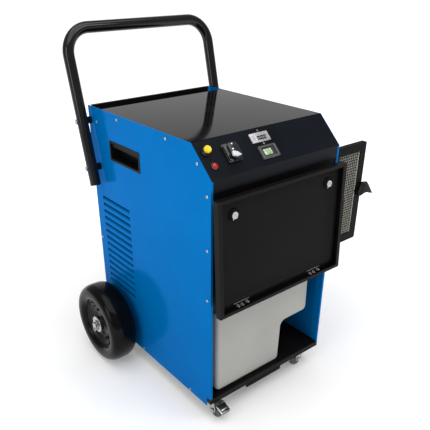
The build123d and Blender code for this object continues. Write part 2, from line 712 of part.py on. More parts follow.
# ---------------------------------------------------------------- filter door, standing open
def filter_door():
    """Framed wire filter hinged at its front edge, swung out square to the side panel."""
    x0 = FILTER_X
    x1 = x0 + FILTER_WIDTH
    y0 = FILTER_Y
    y1 = FILTER_Y + FILTER_THICK
    z0 = FILTER_LOW
    z1 = z0 + FILTER_HEIGHT
    middle = (z0 + z1) / 2
    edge = FILTER_FRAME
    face = 3
    with BuildPart() as frame:
        box(x0, x1, y0, y1, z0, z1)
        fillet(frame.edges().filter_by(Axis.Y).group_by(Axis.X)[-1], 5)
        box(x0 + edge, x1 - edge, y0 - 1, y1 + 1, z0 + edge, z1 - edge, mode=Mode.SUBTRACT)
        box(x0 + face, x1 - face, y0 + face, y1 + 1, z0 + face, z1 - face, mode=Mode.SUBTRACT)
        rod((LATCH_X, y0, middle), "Y", 5 + RUNNING, 40, Mode.SUBTRACT)
        rod((FILTER_PIN_X, FILTER_PIN_Y, middle), "Z", 4, FILTER_HEIGHT - 60)
        box(FILTER_PIN_X, x0 + 1, FILTER_PIN_Y - 2, FILTER_PIN_Y + 2, z0 + 30, z1 - 30)
        rod((FILTER_PIN_X, FILTER_PIN_Y, middle), "Z", 2 + RUNNING, FILTER_HEIGHT + 10, Mode.SUBTRACT)
    keep(frame, "filter_frame")

    wire = 1.6
    pitch = 7
    overlap = 4
    width = FILTER_WIDTH - 2 * (edge - overlap)
    height = FILTER_HEIGHT - 2 * (edge - overlap)
    columns = int((width - overlap) / pitch)
    rows = int((height - overlap) / pitch)
    with BuildPart() as mesh:
        with BuildSketch(Plane.XZ.offset(-y0 - face - wire)):
            with Locations(((x0 + x1) / 2, middle)):
                Rectangle(width, height)
                with GridLocations(pitch, pitch, columns, rows):
                    Rectangle(pitch - wire, pitch - wire, mode=Mode.SUBTRACT)
        extrude(amount=wire)
    keep(mesh, "filter_mesh")

    with BuildPart() as latch:
        rod((LATCH_X, y0 + 5.5, middle), "Y", 5, 27)
        rod((LATCH_X, y0 - 5, middle), "Y", 11, 9.4)
        with BuildSketch(Plane.XZ.offset(-y0 + 4)):
            Polygon(
                (LATCH_X - 8, middle - 8), (LATCH_X - 8, middle + 8), (LATCH_X + 3, middle + 33),
                (LATCH_X + 29, middle + 29), (LATCH_X + LATCH_REACH, middle - 17), (LATCH_X + 29, middle - 4),
                (LATCH_X + 8, middle - 11), align=None,
            )
        extrude(amount=5)
        box(LATCH_X - 4, LATCH_X + 4, y0 + 17, y0 + 19, middle - 4, middle + 20)
    keep(latch, "filter_latch")

    leaf = 28
    with BuildPart() as hinge:
        for z in (z0, z1 - leaf):
            rod((FILTER_PIN_X, FILTER_PIN_Y, z + leaf / 2), "Z", 4, leaf)
            box(HALF, FILTER_PIN_X, FILTER_PIN_Y - 4, FILTER_PIN_Y - 1.5, z, z + leaf)
            box(HALF, HALF + 1, FILTER_PIN_Y - 12, FILTER_PIN_Y + 3, z, z + leaf)
        rod((FILTER_PIN_X, FILTER_PIN_Y, middle), "Z", 2, FILTER_HEIGHT)
    keep(hinge, "filter_hinge")


# ---------------------------------------------------------------- water tank
TANK_X = (-187, 167)
TANK_Y = (-268, -24)
TANK_Z = (SILL_TOP + 1, LOW + 300)
NOTCH_X = 62
NOTCH_Z = LOW + 166
TANK_WALL = 3
MOUTH = (20, 132, -160, -90)
MOUTH_HEIGHT = 9
SPOUT_X = 117
SPOUT_Y = -125


def tank():
    """Blow-moulded tank with its lower right corner cut away, a filling mouth and the float's post."""
    with BuildPart() as shell:
        with BuildSketch(Plane.XZ.offset(-TANK_Y[1])):
            with BuildLine():
                Polyline(
                    (TANK_X[0], TANK_Z[0]), (NOTCH_X - 5, TANK_Z[0]), (NOTCH_X, NOTCH_Z),
                    (TANK_X[1], NOTCH_Z + 2), (TANK_X[1] - 2, TANK_Z[1]), (TANK_X[0], TANK_Z[1]), close=True,
                )
            make_face()
        extrude(amount=TANK_Y[1] - TANK_Y[0])
        uprights = shell.edges().filter_by(Axis.Y)
        fillet(uprights, 16)
        fillet(shell.faces().filter_by(Axis.Y).sort_by(Axis.Y)[0].edges(), 11)
        offset(amount=-TANK_WALL, kind=Kind.INTERSECTION, mode=Mode.SUBTRACT)
        box(*MOUTH, TANK_Z[1] - 8, TANK_Z[1] + MOUTH_HEIGHT)
        box(
            MOUTH[0] + TANK_WALL, MOUTH[1] - TANK_WALL, MOUTH[2] + TANK_WALL, MOUTH[3] - TANK_WALL,
            TANK_Z[1] - 20, TANK_Z[1] + 20, mode=Mode.SUBTRACT,
        )
        rod((FLOAT_X, FLOAT_Y, TANK_FLOOR + 110), "Z", 6, 220)
        rod((FLOAT_X, FLOAT_Y, TANK_FLOOR + 3), "Z", 16, 6)
        rod((FLOAT_X, FLOAT_Y, TANK_FLOOR + 219), "Z", 9, 3)
    keep(shell, "water_tank")


def tank_float():
    """Ring float that rides up the post moulded on the tank's floor."""
    floor = TANK_FLOOR
    with BuildPart() as ring:
        rod((FLOAT_X, FLOAT_Y, floor + 24), "Z", 22, 28)
        fillet(ring.edges().filter_by(GeomType.CIRCLE), 6)
        rod((FLOAT_X, FLOAT_Y, floor + 24), "Z", 6 + RUNNING, 40, Mode.SUBTRACT)
    keep(ring, "tank_float")


FLOAT_X = -120
FLOAT_Y = -100
TANK_FLOOR = TANK_Z[0] + TANK_WALL


# ---------------------------------------------------------------- wheels and casters
def rear_axle():
    """Axle rod, its bearing brackets, hub washers and split pins."""
    with BuildPart() as axle:
        rod((0, WHEEL_Y, WHEEL_RADIUS), "X", AXLE_RADIUS, 2 * AXLE_END)
        chamfer(axle.edges().filter_by(GeomType.CIRCLE), 1.5)
        for side in (-1, 1):
            rod((side * (AXLE_END - 6), WHEEL_Y, WHEEL_RADIUS), "Z", 2.1, 30, Mode.SUBTRACT)
    keep(axle, "rear_axle")

    with BuildPart() as brackets:
        for side in (-1, 1):
            inner = side * (HALF - SHEET)
            box(inner, inner - side * 4, WHEEL_Y - 34, WHEEL_Y + 34, TRAY_FLOOR + 14, WHEEL_RADIUS + 34)
            rod((inner - side * 12, WHEEL_Y, WHEEL_RADIUS), "X", 17, 24)
            rod((inner - side * 12, WHEEL_Y, WHEEL_RADIUS), "X", AXLE_RADIUS + 0.05, 40, Mode.SUBTRACT)
    keep(brackets, "axle_brackets")

    with BuildPart() as fasteners:
        for side in (-1, 1):
            rod((side * (HUB_OUTER + 1.6), WHEEL_Y, WHEEL_RADIUS), "X", 27, 2.4)
            rod((side * (HUB_INNER - 1.6), WHEEL_Y, WHEEL_RADIUS), "X", 21, 2.4)
            spacer = (side * (HALF + (HUB_INNER - HALF) / 2 - 1.4), WHEEL_Y, WHEEL_RADIUS)
            rod(spacer, "X", 14, HUB_INNER - HALF - 3)
        rod((0, WHEEL_Y, WHEEL_RADIUS), "X", AXLE_RADIUS + 0.05, 2 * AXLE_END, Mode.SUBTRACT)
        for side in (-1, 1):
            x = side * (AXLE_END - 6)
            rod((x, WHEEL_Y, WHEEL_RADIUS), "Z", 2, 36)
            with Locations(Location((x, WHEEL_Y, WHEEL_RADIUS - 22), (0, 90, 0))):
                Torus(8, 1.8)
    keep(fasteners, "hub_fasteners")


HUB_INNER = 252
HUB_OUTER = 315


def rear_wheel(side, name):
    """Tyre and dished rim about the axle."""
    centre = side * WHEEL_X
    half = WHEEL_WIDTH / 2
    bead = 74
    with BuildPart() as tyre:
        with BuildSketch(Plane.XZ.offset(-WHEEL_Y)) as section:
            with Locations((centre, WHEEL_RADIUS + (bead + WHEEL_RADIUS) / 2)):
                Rectangle(WHEEL_WIDTH, WHEEL_RADIUS - bead)
            corners = section.vertices().group_by(Axis.Y)
            fillet(corners[-1], 36)
            fillet(corners[0], 18)
        revolve(axis=WHEEL_AXIS)
    keep(tyre, f"{name}_tyre")

    with BuildPart() as rim:
        with BuildSketch(Plane.XZ.offset(-WHEEL_Y)):
            base = WHEEL_RADIUS
            with BuildLine():
                Polyline(
                    (centre - half + 16, base + bead),
                    (centre + half - 16, base + bead),
                    (centre + half - 17, base + bead - 7),
                    (centre + half - 22, base + bead - 12),
                    (centre + 16, base + bead - 18),
                    (centre + 10, base + 30),
                    (centre + 12, base + 24),
                    (side * (HUB_OUTER if side > 0 else HUB_INNER), base + 22),
                    (side * (HUB_OUTER if side > 0 else HUB_INNER), base + AXLE_RADIUS + RUNNING),
                    (side * (HUB_INNER if side > 0 else HUB_OUTER), base + AXLE_RADIUS + RUNNING),
                    (side * (HUB_INNER if side > 0 else HUB_OUTER), base + 22),
                    (centre - 12, base + 24),
                    (centre - 10, base + 30),
                    (centre - 16, base + bead - 18),
                    (centre - half + 22, base + bead - 12),
                    (centre - half + 17, base + bead - 7),
                    close=True,
                )
            make_face()
        revolve(axis=WHEEL_AXIS)
    keep(rim, f"{name}_rim")


def caster_plates():
    """Top plates with their ball races, kingpins and bolts."""
    with BuildPart() as plates:
        for side in (-1, 1):
            x = side * CASTER_X
            y = CASTER_Y
            box(x - 24, x + 24, y - 28, y + 28, TRAY_LOW - 3, TRAY_LOW)
            rod((x, y, TRAY_LOW - 5), "Z", 15, 4)
            rod((x, y, TRAY_LOW - 7), "Z", 5, 18)
            rod((x, y, TRAY_LOW - 14), "Z", 8, 3)
            for dx in (-18, 18):
                for dy in (-21, 21):
                    with BuildSketch(Plane.XY.offset(TRAY_LOW - 3)):
                        with Locations((x + dx, y + dy)):
                            RegularPolygon(5, 6)
                    extrude(amount=-3.5)
    keep(plates, "caster_plates")


def caster(side, name, trail):
    """Swivelling fork, wheel and brake pedal. trail is the direction from the swivel to the wheel."""
    # These are drawn in a frame whose +X is the trailing direction.
    origin = (side * CASTER_X, CASTER_Y, 0)
    yoke = Plane(origin=origin, x_dir=(*trail, 0), z_dir=(0, 0, 1))
    side_plane = Plane(origin=origin, x_dir=(*trail, 0), z_dir=(trail[1], -trail[0], 0))
    hub = (CASTER_TRAIL, CASTER_RADIUS)
    crown = TRAY_LOW - 7.3
    with BuildPart() as fork:
        with BuildSketch(yoke.offset(crown)):
            Circle(17)
            with Locations((6, 0)):
                Rectangle(32, 32)
            Circle(5 + RUNNING, mode=Mode.SUBTRACT)
        extrude(amount=-3)
        for z in (13, -16):
            with BuildSketch(side_plane.offset(z)):
                with BuildLine():
                    Polyline(
                        (-10, crown), (22, crown), (34, CASTER_RADIUS + 4), (30, CASTER_RADIUS - 7),
                        (18, CASTER_RADIUS - 7), (8, CASTER_RADIUS + 8), close=True,
                    )
                make_face()
                with Locations(hub):
                    Circle(4.1, mode=Mode.SUBTRACT)
            extrude(amount=3)
        with BuildSketch(side_plane.offset(-16)):
            with Locations(PEDAL_PIVOT):
                Circle(1.5)
        extrude(amount=32)
        with BuildSketch(side_plane.offset(-16.2)):
            with Locations(hub):
                Circle(4)
        extrude(amount=32.4)
        for start in (16.1, -20.1):
            with BuildSketch(side_plane.offset(start)):
                with Locations(hub):
                    RegularPolygon(7, 6)
            extrude(amount=4)
    keep(fork, f"{name}_caster_fork")

    with BuildPart() as wheel:
        with BuildSketch(side_plane.offset(-11)):
            with Locations(hub):
                Circle(CASTER_RADIUS)
        extrude(amount=22)
        fillet(wheel.edges().filter_by(GeomType.CIRCLE), 4)
        with BuildSketch(side_plane.offset(-12)):
            with Locations(hub):
                Circle(4 + RUNNING)
        extrude(amount=24, mode=Mode.SUBTRACT)
    keep(wheel, f"{name}_caster_wheel")

    with BuildPart() as pedal:
        with BuildSketch(side_plane.offset(-12.5)):
            with BuildLine():
                Polyline(
                    (21, 56.5), (29, 51.8), (40, 49.2), (64, 40.6), (66, 34.4), (64, 33.8), (61.5, 39.2),
                    (39, 47.7), (29, 50.7), (21, 53.5), close=True,
                )
            make_face()
        extrude(amount=25)
        # Past the fork the pedal widens to the fork's full width.
        with BuildSketch(side_plane.offset(-16)):
            with BuildLine():
                Polyline(
                    (27.5, 52.6), (29, 51.8), (40, 49.2), (64, 40.6), (66, 34.4), (64, 33.8), (61.5, 39.2),
                    (39, 47.7), (29, 50.7), (27.5, 51.3), close=True,
                )
            make_face()
        extrude(amount=32)
        with BuildSketch(side_plane.offset(-12.5)):
            with Locations(PEDAL_PIVOT):
                Circle(3.2)
        extrude(amount=25)
        with BuildSketch(side_plane.offset(-13)):
            with Locations(PEDAL_PIVOT):
                Circle(1.5 + RUNNING)
        extrude(amount=26, mode=Mode.SUBTRACT)
    keep(pedal, f"{name}_brake_pedal")


PEDAL_PIVOT = (21, 55)


# ---------------------------------------------------------------- machinery inside
COIL_Y = (-250, -105)


def coil(x0, x1, node):
    """Finned heat exchanger: end plates, fins and hairpin bends."""
    y0, y1, z0, z1 = COIL_Y[0], COIL_Y[1], 388, 696
    fins = 24
    with BuildPart() as block:
        box(x0, x1, y0, y1, z0, z0 + 2)
        box(x0, x1, y0, y1, z1 - 2, z1)
        pitch = (y1 - y0 - 1) / (fins - 1)
        for i in range(fins):
            y = y0 + 0.5 + i * pitch
            box(x0, x1, y - 0.4, y + 0.4, z0 + 1, z1 - 1)
        for i in range(5):
            z = z0 + 30 + i * 56
            with Locations(Location(((x0 + x1) / 2, y1, z), (90, 0, 90))):
                Torus(9, 4)
    keep(block, node)


def machinery():
    """Compressor, coils, pipes, fan, drip tray and electrical box."""
    with BuildPart() as compressor:
        rod((COMPRESSOR_X, COMPRESSOR_Y, 198), "Z", 56, 204)
        fillet(compressor.edges().filter_by(GeomType.CIRCLE), 18)
        rod((COMPRESSOR_X + 40, COMPRESSOR_Y, 300), "Z", 6, 34)
        box(COMPRESSOR_X - 60, COMPRESSOR_X + 60, COMPRESSOR_Y - 60, COMPRESSOR_Y + 60, 92, 97)
        box(COMPRESSOR_X - 14, COMPRESSOR_X + 14, COMPRESSOR_Y - 18, COMPRESSOR_Y + 18, 286, 312)
    keep(compressor, "compressor")

    coil(166, 204, "evaporator")
    coil(112, 150, "condenser")

    with BuildPart() as pipes:
        port = COMPRESSOR_X + 40
        with BuildLine() as suction:
            FilletPolyline(
                (port, COMPRESSOR_Y, 317), (port, COMPRESSOR_Y, 446), (185, COMPRESSOR_Y, 446),
                (185, COIL_Y[1] + 0.1, 446), radius=25,
            )
        with BuildSketch(Plane(origin=suction.line @ 0, z_dir=suction.line % 0)):
            Circle(5)
        sweep(path=suction.line)
        with BuildLine() as discharge:
            FilletPolyline(
                (60, 40, 380), (60, 40, 614), (131, 40, 614), (131, COIL_Y[1] + 0.1, 614), radius=20
            )
        with BuildSketch(Plane(origin=discharge.line @ 0, z_dir=discharge.line % 0)):
            Circle(4)
        sweep(path=discharge.line)
        with BuildLine() as riser:
            FilletPolyline(
                (-33.9, COMPRESSOR_Y, 150), (60, COMPRESSOR_Y, 150), (60, 40, 150), (60, 40, 245), radius=15
            )
        with BuildSketch(Plane(origin=riser.line @ 0, z_dir=riser.line % 0)):
            Circle(4)
        sweep(path=riser.line)
        # The muffler in the line between the compressor and the condenser.
        rod((60, 40, 300), "Z", 14, 110)
        rod((60, 40, 307.5), "Z", 5, 145)
    keep(pipes, "refrigerant_pipes")

    fan_y, fan_z = FAN_AT
    with BuildPart() as shroud:
        box(96, 98, -262, -94, 405, 702)
        rod((97, fan_y, fan_z), "X", 78, 6, Mode.SUBTRACT)
        with BuildSketch(Plane.YZ.offset(74)):
            with Locations((fan_y, fan_z)):
                Circle(80)
                Circle(78, mode=Mode.SUBTRACT)
        extrude(amount=24)
        for dy, dz in ((-50, -62), (50, -62), (-50, 62), (50, 62)):
            rod((59, fan_y + dy * 1.15, fan_z + dz * 1.15), "X", 3, 74)
    keep(shroud, "fan_shroud")

    with BuildPart() as motor:
        rod((46, fan_y, fan_z), "X", 38, 52)
        fillet(motor.edges().filter_by(GeomType.CIRCLE), 6)
        rod((82, fan_y, fan_z), "X", 4, 24)
        box(20, 22, fan_y - 62, fan_y + 62, fan_z - 8, fan_z + 8)
        box(20, 22, fan_y - 8, fan_y + 8, fan_z - 78, fan_z + 78)
        box(20, 22, fan_y - 62, fan_y + 62, fan_z - 78, fan_z - 64)
        box(20, 22, fan_y - 62, fan_y + 62, fan_z + 64, fan_z + 78)
    keep(motor, "fan_motor")

    with BuildPart() as impeller:
        rod((84, fan_y, fan_z), "X", 18, 18)
        for i in range(6):
            with Locations(Location((84, fan_y, fan_z), (60 * i, 0, 0))):
                with Locations(Location((0, 0, 44), (0, 0, 32))):
                    Box(2, 34, 60)
        rod((84, fan_y, fan_z), "X", 4 + RUNNING, 60, Mode.SUBTRACT)
    keep(impeller, "fan_impeller")

    with BuildPart() as drip:
        box(104, 208, -256, -98, 386, 406)
        box(106, 206, -254, -100, 388, 410, mode=Mode.SUBTRACT)
        rod((SPOUT_X, SPOUT_Y, CEILING + 3.5), "Z", 8, 25)
        rod((SPOUT_X, SPOUT_Y, CEILING + 3.5), "Z", 6, 50, Mode.SUBTRACT)
    keep(drip, "drip_tray")

    with BuildPart() as electrics:
        box(-206, -30, -262, -130, 560, 676)
        box(-204, -32, -260, -128, 562, 680, mode=Mode.SUBTRACT)
        box(-200, -60, -250, -248, 566, 660)
        box(-190, -160, -247.9, -225, 580, 620)
        box(-150, -120, -247.9, -232, 590, 610)
        rod((-95, -239, 600), "Y", 10, 18)
    keep(electrics, "electrical_box")


FAN_AT = (-178, 553)


# ---------------------------------------------------------------- build everything
side_panel(-1, "left_panel")
side_panel(1, "right_panel")
grip_cups()
cabinet_screws()
handle()
covers()
base()
console_parts()
tank_door()
filter_door()
tank()
tank_float()
rear_axle()
rear_wheel(-1, "left")
rear_wheel(1, "right")
caster_plates()
caster(-1, "left", (0, -1))
caster(1, "right", (-1, 0))
machinery()
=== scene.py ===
import json
from math import atan2, cos, pi, radians, sin

import bmesh
import bpy
from mathutils import Matrix, Vector


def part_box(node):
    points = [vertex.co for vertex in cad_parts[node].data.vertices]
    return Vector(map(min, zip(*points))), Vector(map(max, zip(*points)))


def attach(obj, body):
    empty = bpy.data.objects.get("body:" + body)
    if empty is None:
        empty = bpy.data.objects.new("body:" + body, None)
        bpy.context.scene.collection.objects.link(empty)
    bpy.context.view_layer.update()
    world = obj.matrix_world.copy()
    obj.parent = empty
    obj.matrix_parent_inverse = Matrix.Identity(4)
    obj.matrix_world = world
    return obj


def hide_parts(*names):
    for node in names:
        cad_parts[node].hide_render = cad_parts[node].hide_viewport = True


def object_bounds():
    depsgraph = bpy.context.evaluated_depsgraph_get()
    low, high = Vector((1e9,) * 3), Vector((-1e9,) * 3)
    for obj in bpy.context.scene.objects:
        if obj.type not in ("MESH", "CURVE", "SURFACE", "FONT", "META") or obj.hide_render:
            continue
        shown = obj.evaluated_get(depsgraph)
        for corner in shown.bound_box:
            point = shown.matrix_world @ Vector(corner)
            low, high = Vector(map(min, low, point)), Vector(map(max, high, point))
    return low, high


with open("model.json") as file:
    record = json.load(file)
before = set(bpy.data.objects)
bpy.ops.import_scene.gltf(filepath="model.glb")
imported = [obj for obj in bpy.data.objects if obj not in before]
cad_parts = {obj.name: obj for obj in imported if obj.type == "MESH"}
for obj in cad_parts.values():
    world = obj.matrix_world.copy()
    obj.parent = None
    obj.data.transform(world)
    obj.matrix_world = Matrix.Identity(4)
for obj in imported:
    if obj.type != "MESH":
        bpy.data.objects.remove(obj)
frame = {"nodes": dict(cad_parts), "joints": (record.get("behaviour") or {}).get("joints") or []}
CAD_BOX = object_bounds()
NODES = frame["nodes"]
JOINTS = {joint["name"]: joint for joint in frame["joints"]}

# Everything is in metres. MM turns the small dimensions below, written in millimetres, into metres.
MM = 0.001

# ---------------------------------------------------------------- camera and studio
CAMERA_PLACE = (-0.9952, -1.1908, 1.1541)
CAMERA_AZIMUTH = 38.495
CAMERA_DROP = 28.61
CAMERA_ROLL = -0.15
CAMERA_LENS = 45.95
CAMERA_SHIFT = (0.0183, 0.1087)
FLOOR_SIZE = 80.0
WORLD_STRENGTH = 0.40
# Floor glow near and far from the machine: the lower near value is a painted shadow around the machine.
FLOOR_GLOW = (0.22, 0.74)


def middle(node):
    """The centre of a CAD node's box."""
    low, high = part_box(node)
    return (low + high) / 2


def look(place, target, roll=0.0):
    """A rotation that looks from one point to another, with Z up."""
    turn = (Vector(target) - Vector(place)).to_track_quat("-Z", "Y")
    return turn.to_matrix().to_4x4() @ Matrix.Rotation(roll, 4, "Z")


def add_camera():
    """The photograph's viewing angle, from the front left and above."""
    azimuth = radians(CAMERA_AZIMUTH)
    drop = radians(CAMERA_DROP)
    view = Vector((sin(azimuth) * cos(drop), cos(azimuth) * cos(drop), -sin(drop)))
    camera = bpy.data.objects.new("camera", bpy.data.cameras.new("camera"))
    camera.data.lens = CAMERA_LENS
    camera.data.sensor_width = 36.0
    camera.data.shift_x, camera.data.shift_y = CAMERA_SHIFT
    camera.data.clip_start = 0.02
    place = Vector(CAMERA_PLACE)
    camera.matrix_world = Matrix.Translation(place) @ look(place, place + view, radians(CAMERA_ROLL))
    bpy.context.scene.collection.objects.link(camera)
    bpy.context.scene.camera = camera


def add_light(name, place, target, size, power, colour=(1.0, 1.0, 1.0)):
    """A soft box."""
    data = bpy.data.lights.new(name, "AREA")
    data.shape = "RECTANGLE"
    data.size, data.size_y = size
    data.energy = power
    data.color = colour
    light = bpy.data.objects.new(name, data)
    light.matrix_world = Matrix.Translation(Vector(place)) @ look(place, target)
    bpy.context.scene.collection.objects.link(light)


def add_studio():
    """Pale floor, even white surroundings and four soft boxes."""
    scene = bpy.context.scene
    scene.view_settings.view_transform = "Standard"
    world = bpy.data.worlds.new("studio")
    world.use_nodes = True
    background = world.node_tree.nodes["Background"]
    background.inputs["Color"].default_value = (1.0, 1.0, 1.0, 1.0)
    background.inputs["Strength"].default_value = WORLD_STRENGTH
    scene.world = world
    centre = (CAD_BOX[0] + CAD_BOX[1]) / 2
    add_light("overhead", (-0.4, -0.6, 3.4), centre, (3.4, 3.4), 88)
    add_light("left", (-3.0, -0.6, 1.7), centre, (1.2, 1.8), 22)
    add_light("console", (0.7, -1.5, 2.3), centre, (0.7, 0.7), 7)
    add_light("backdrop", (1.8, 2.6, 1.8), centre, (3.4, 2.4), 16)
    floor = Shape()
    half = FLOOR_SIZE / 2
    floor.sheet([(-half, -half), (half, -half), (half, half), (-half, half)])
    floor.piece("studio_floor", None, pale_floor())


# ---------------------------------------------------------------- materials
def link(tree, source, output, target, name):
    """Join a node's output to another node's input, both by name."""
    tree.links.new(source.outputs[output], target.inputs[name])


def finish(
    name, colour, other=None, mottle=9.0, rough=0.4, spread=0.05, grain=700.0, bump=0.15, depth=0.00015,
    metal=0.0, coat=0.0, coat_rough=0.08, specular=0.5, stretch=(1.0, 1.0, 1.0), under=0.0, detail=3.0,
    tint=(1.0, 1.0, 1.0),
):
    """A procedural finish: mottled colour, uneven roughness and a fine grain in the surface."""
    material = bpy.data.materials.new(name)
    material.use_nodes = True
    tree = material.node_tree
    shader = tree.nodes["Principled BSDF"]
    shader.inputs["Metallic"].default_value = metal
    shader.inputs["Specular IOR Level"].default_value = specular
    shader.inputs["Specular Tint"].default_value = (*tint, 1.0)
    shader.inputs["Coat Weight"].default_value = coat
    shader.inputs["Coat Roughness"].default_value = coat_rough
    shader.inputs["Subsurface Weight"].default_value = under
    place = tree.nodes.new("ShaderNodeTexCoord")
    scale = tree.nodes.new("ShaderNodeMapping")
    scale.inputs["Scale"].default_value = stretch
    link(tree, place, "Object", scale, "Vector")
    clouds = tree.nodes.new("ShaderNodeTexNoise")
    clouds.inputs["Scale"].default_value = mottle
    clouds.inputs["Detail"].default_value = detail
    link(tree, scale, "Vector", clouds, "Vector")
    if other is None:
        other = tuple(min(1.0, value * 1.18 + 0.002) for value in colour)
    ramp = tree.nodes.new("ShaderNodeValToRGB")
    ramp.color_ramp.elements[0].position = 0.35
    ramp.color_ramp.elements[0].color = (*colour, 1.0)
    ramp.color_ramp.elements[1].position = 0.65
    ramp.color_ramp.elements[1].color = (*other, 1.0)
    link(tree, clouds, "Fac", ramp, "Fac")
    link(tree, ramp, "Color", shader, "Base Color")
    fine = tree.nodes.new("ShaderNodeTexNoise")
    fine.inputs["Scale"].default_value = grain
    fine.inputs["Detail"].default_value = 2.0
    link(tree, scale, "Vector", fine, "Vector")
    uneven = tree.nodes.new("ShaderNodeMapRange")
    uneven.inputs["From Min"].default_value = 0.3
    uneven.inputs["From Max"].default_value = 0.7
    uneven.inputs["To Min"].default_value = max(0.02, rough - spread)
    uneven.inputs["To Max"].default_value = rough + spread
    link(tree, clouds, "Fac", uneven, "Value")
    link(tree, uneven, "Result", shader, "Roughness")
    if bump > 0:
        relief = tree.nodes.new("ShaderNodeBump")
        relief.inputs["Strength"].default_value = bump
        relief.inputs["Distance"].default_value = depth
        link(tree, fine, "Fac", relief, "Height")
        link(tree, relief, "Normal", shader, "Normal")
    if under > 0:
        shader.inputs["Subsurface Radius"].default_value = (0.012, 0.011, 0.010)
        shader.inputs["Subsurface Scale"].default_value = 1.0
    return material


def pale_floor():
    """Matt white that glows more the further it is from the machine; the weaker glow near the machine is a painted
    shadow around it.
    """
    material = finish("floor", (0.78, 0.78, 0.78), (0.80, 0.80, 0.80), rough=0.9, bump=0.0, specular=0.0)
    tree = material.node_tree
    shader = tree.nodes["Principled BSDF"]
    shader.inputs["Emission Color"].default_value = (1.0, 1.0, 1.0, 1.0)
    place = tree.nodes.new("ShaderNodeTexCoord")
    distance = tree.nodes.new("ShaderNodeVectorMath")
    distance.operation = "LENGTH"
    link(tree, place, "Object", distance, "Vector")
    # Painted shadow: the glow is weaker close to the machine and grows with distance.
    glow = tree.nodes.new("ShaderNodeMapRange")
    glow.interpolation_type = "SMOOTHSTEP"
    glow.inputs["From Min"].default_value = 0.3
    glow.inputs["From Max"].default_value = 1.9
    glow.inputs["To Min"].default_value, glow.inputs["To Max"].default_value = FLOOR_GLOW
    link(tree, distance, "Value", glow, "Value")
    link(tree, glow, "Result", shader, "Emission Strength")
    return material


def blue_coat(name):
    """Smooth blue powder coat that mirrors its surroundings in blue."""
    return finish(name, (0.0, 0.146, 0.440), (0.0, 0.155, 0.465), rough=0.13, spread=0.02, grain=900.0, bump=0.03,
                  metal=0.25, specular=0.015, tint=(0.0, 0.3, 0.7))


def blue_with_painted_louvre_shade():
    """The blue coat with painted shade: it darkens with depth inside the louvres at the rear of the left panel."""
    material = blue_coat("blue_coat_painted_louvre_shade")
    tree = material.node_tree
    shader = tree.nodes["Principled BSDF"]
    coat = shader.inputs["Base Color"].links[0].from_socket
    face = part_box("left_panel")[0].x
    place = tree.nodes.new("ShaderNodeTexCoord")
    split = tree.nodes.new("ShaderNodeSeparateXYZ")
    link(tree, place, "Object", split, "Vector")
    # Painted shade: the deeper a point lies inside a louvre, the darker the coat, only towards the rear.
    depth = tree.nodes.new("ShaderNodeMapRange")
    depth.inputs["From Min"].default_value = face + 0.4 * MM
    depth.inputs["From Max"].default_value = face + 5.0 * MM
    link(tree, split, "X", depth, "Value")
    rear = tree.nodes.new("ShaderNodeMath")
    rear.operation = "GREATER_THAN"
    rear.inputs[1].default_value = 60 * MM
    link(tree, split, "Y", rear, "Value")
    shade = tree.nodes.new("ShaderNodeMath")
    shade.operation = "MULTIPLY"
    tree.links.new(depth.outputs["Result"], shade.inputs[0])
    tree.links.new(rear.outputs["Value"], shade.inputs[1])
    mix = tree.nodes.new("ShaderNodeMix")
    mix.data_type = "RGBA"
    tree.links.new(shade.outputs["Value"], mix.inputs["Factor"])
    tree.links.new(coat, mix.inputs[6])
    # The dark blue is painted shade, the colour the coat reaches deep inside each louvre.
    mix.inputs[7].default_value = (0.0, 0.006, 0.03, 1.0)
    tree.links.new(mix.outputs[2], shader.inputs["Base Color"])
    return material


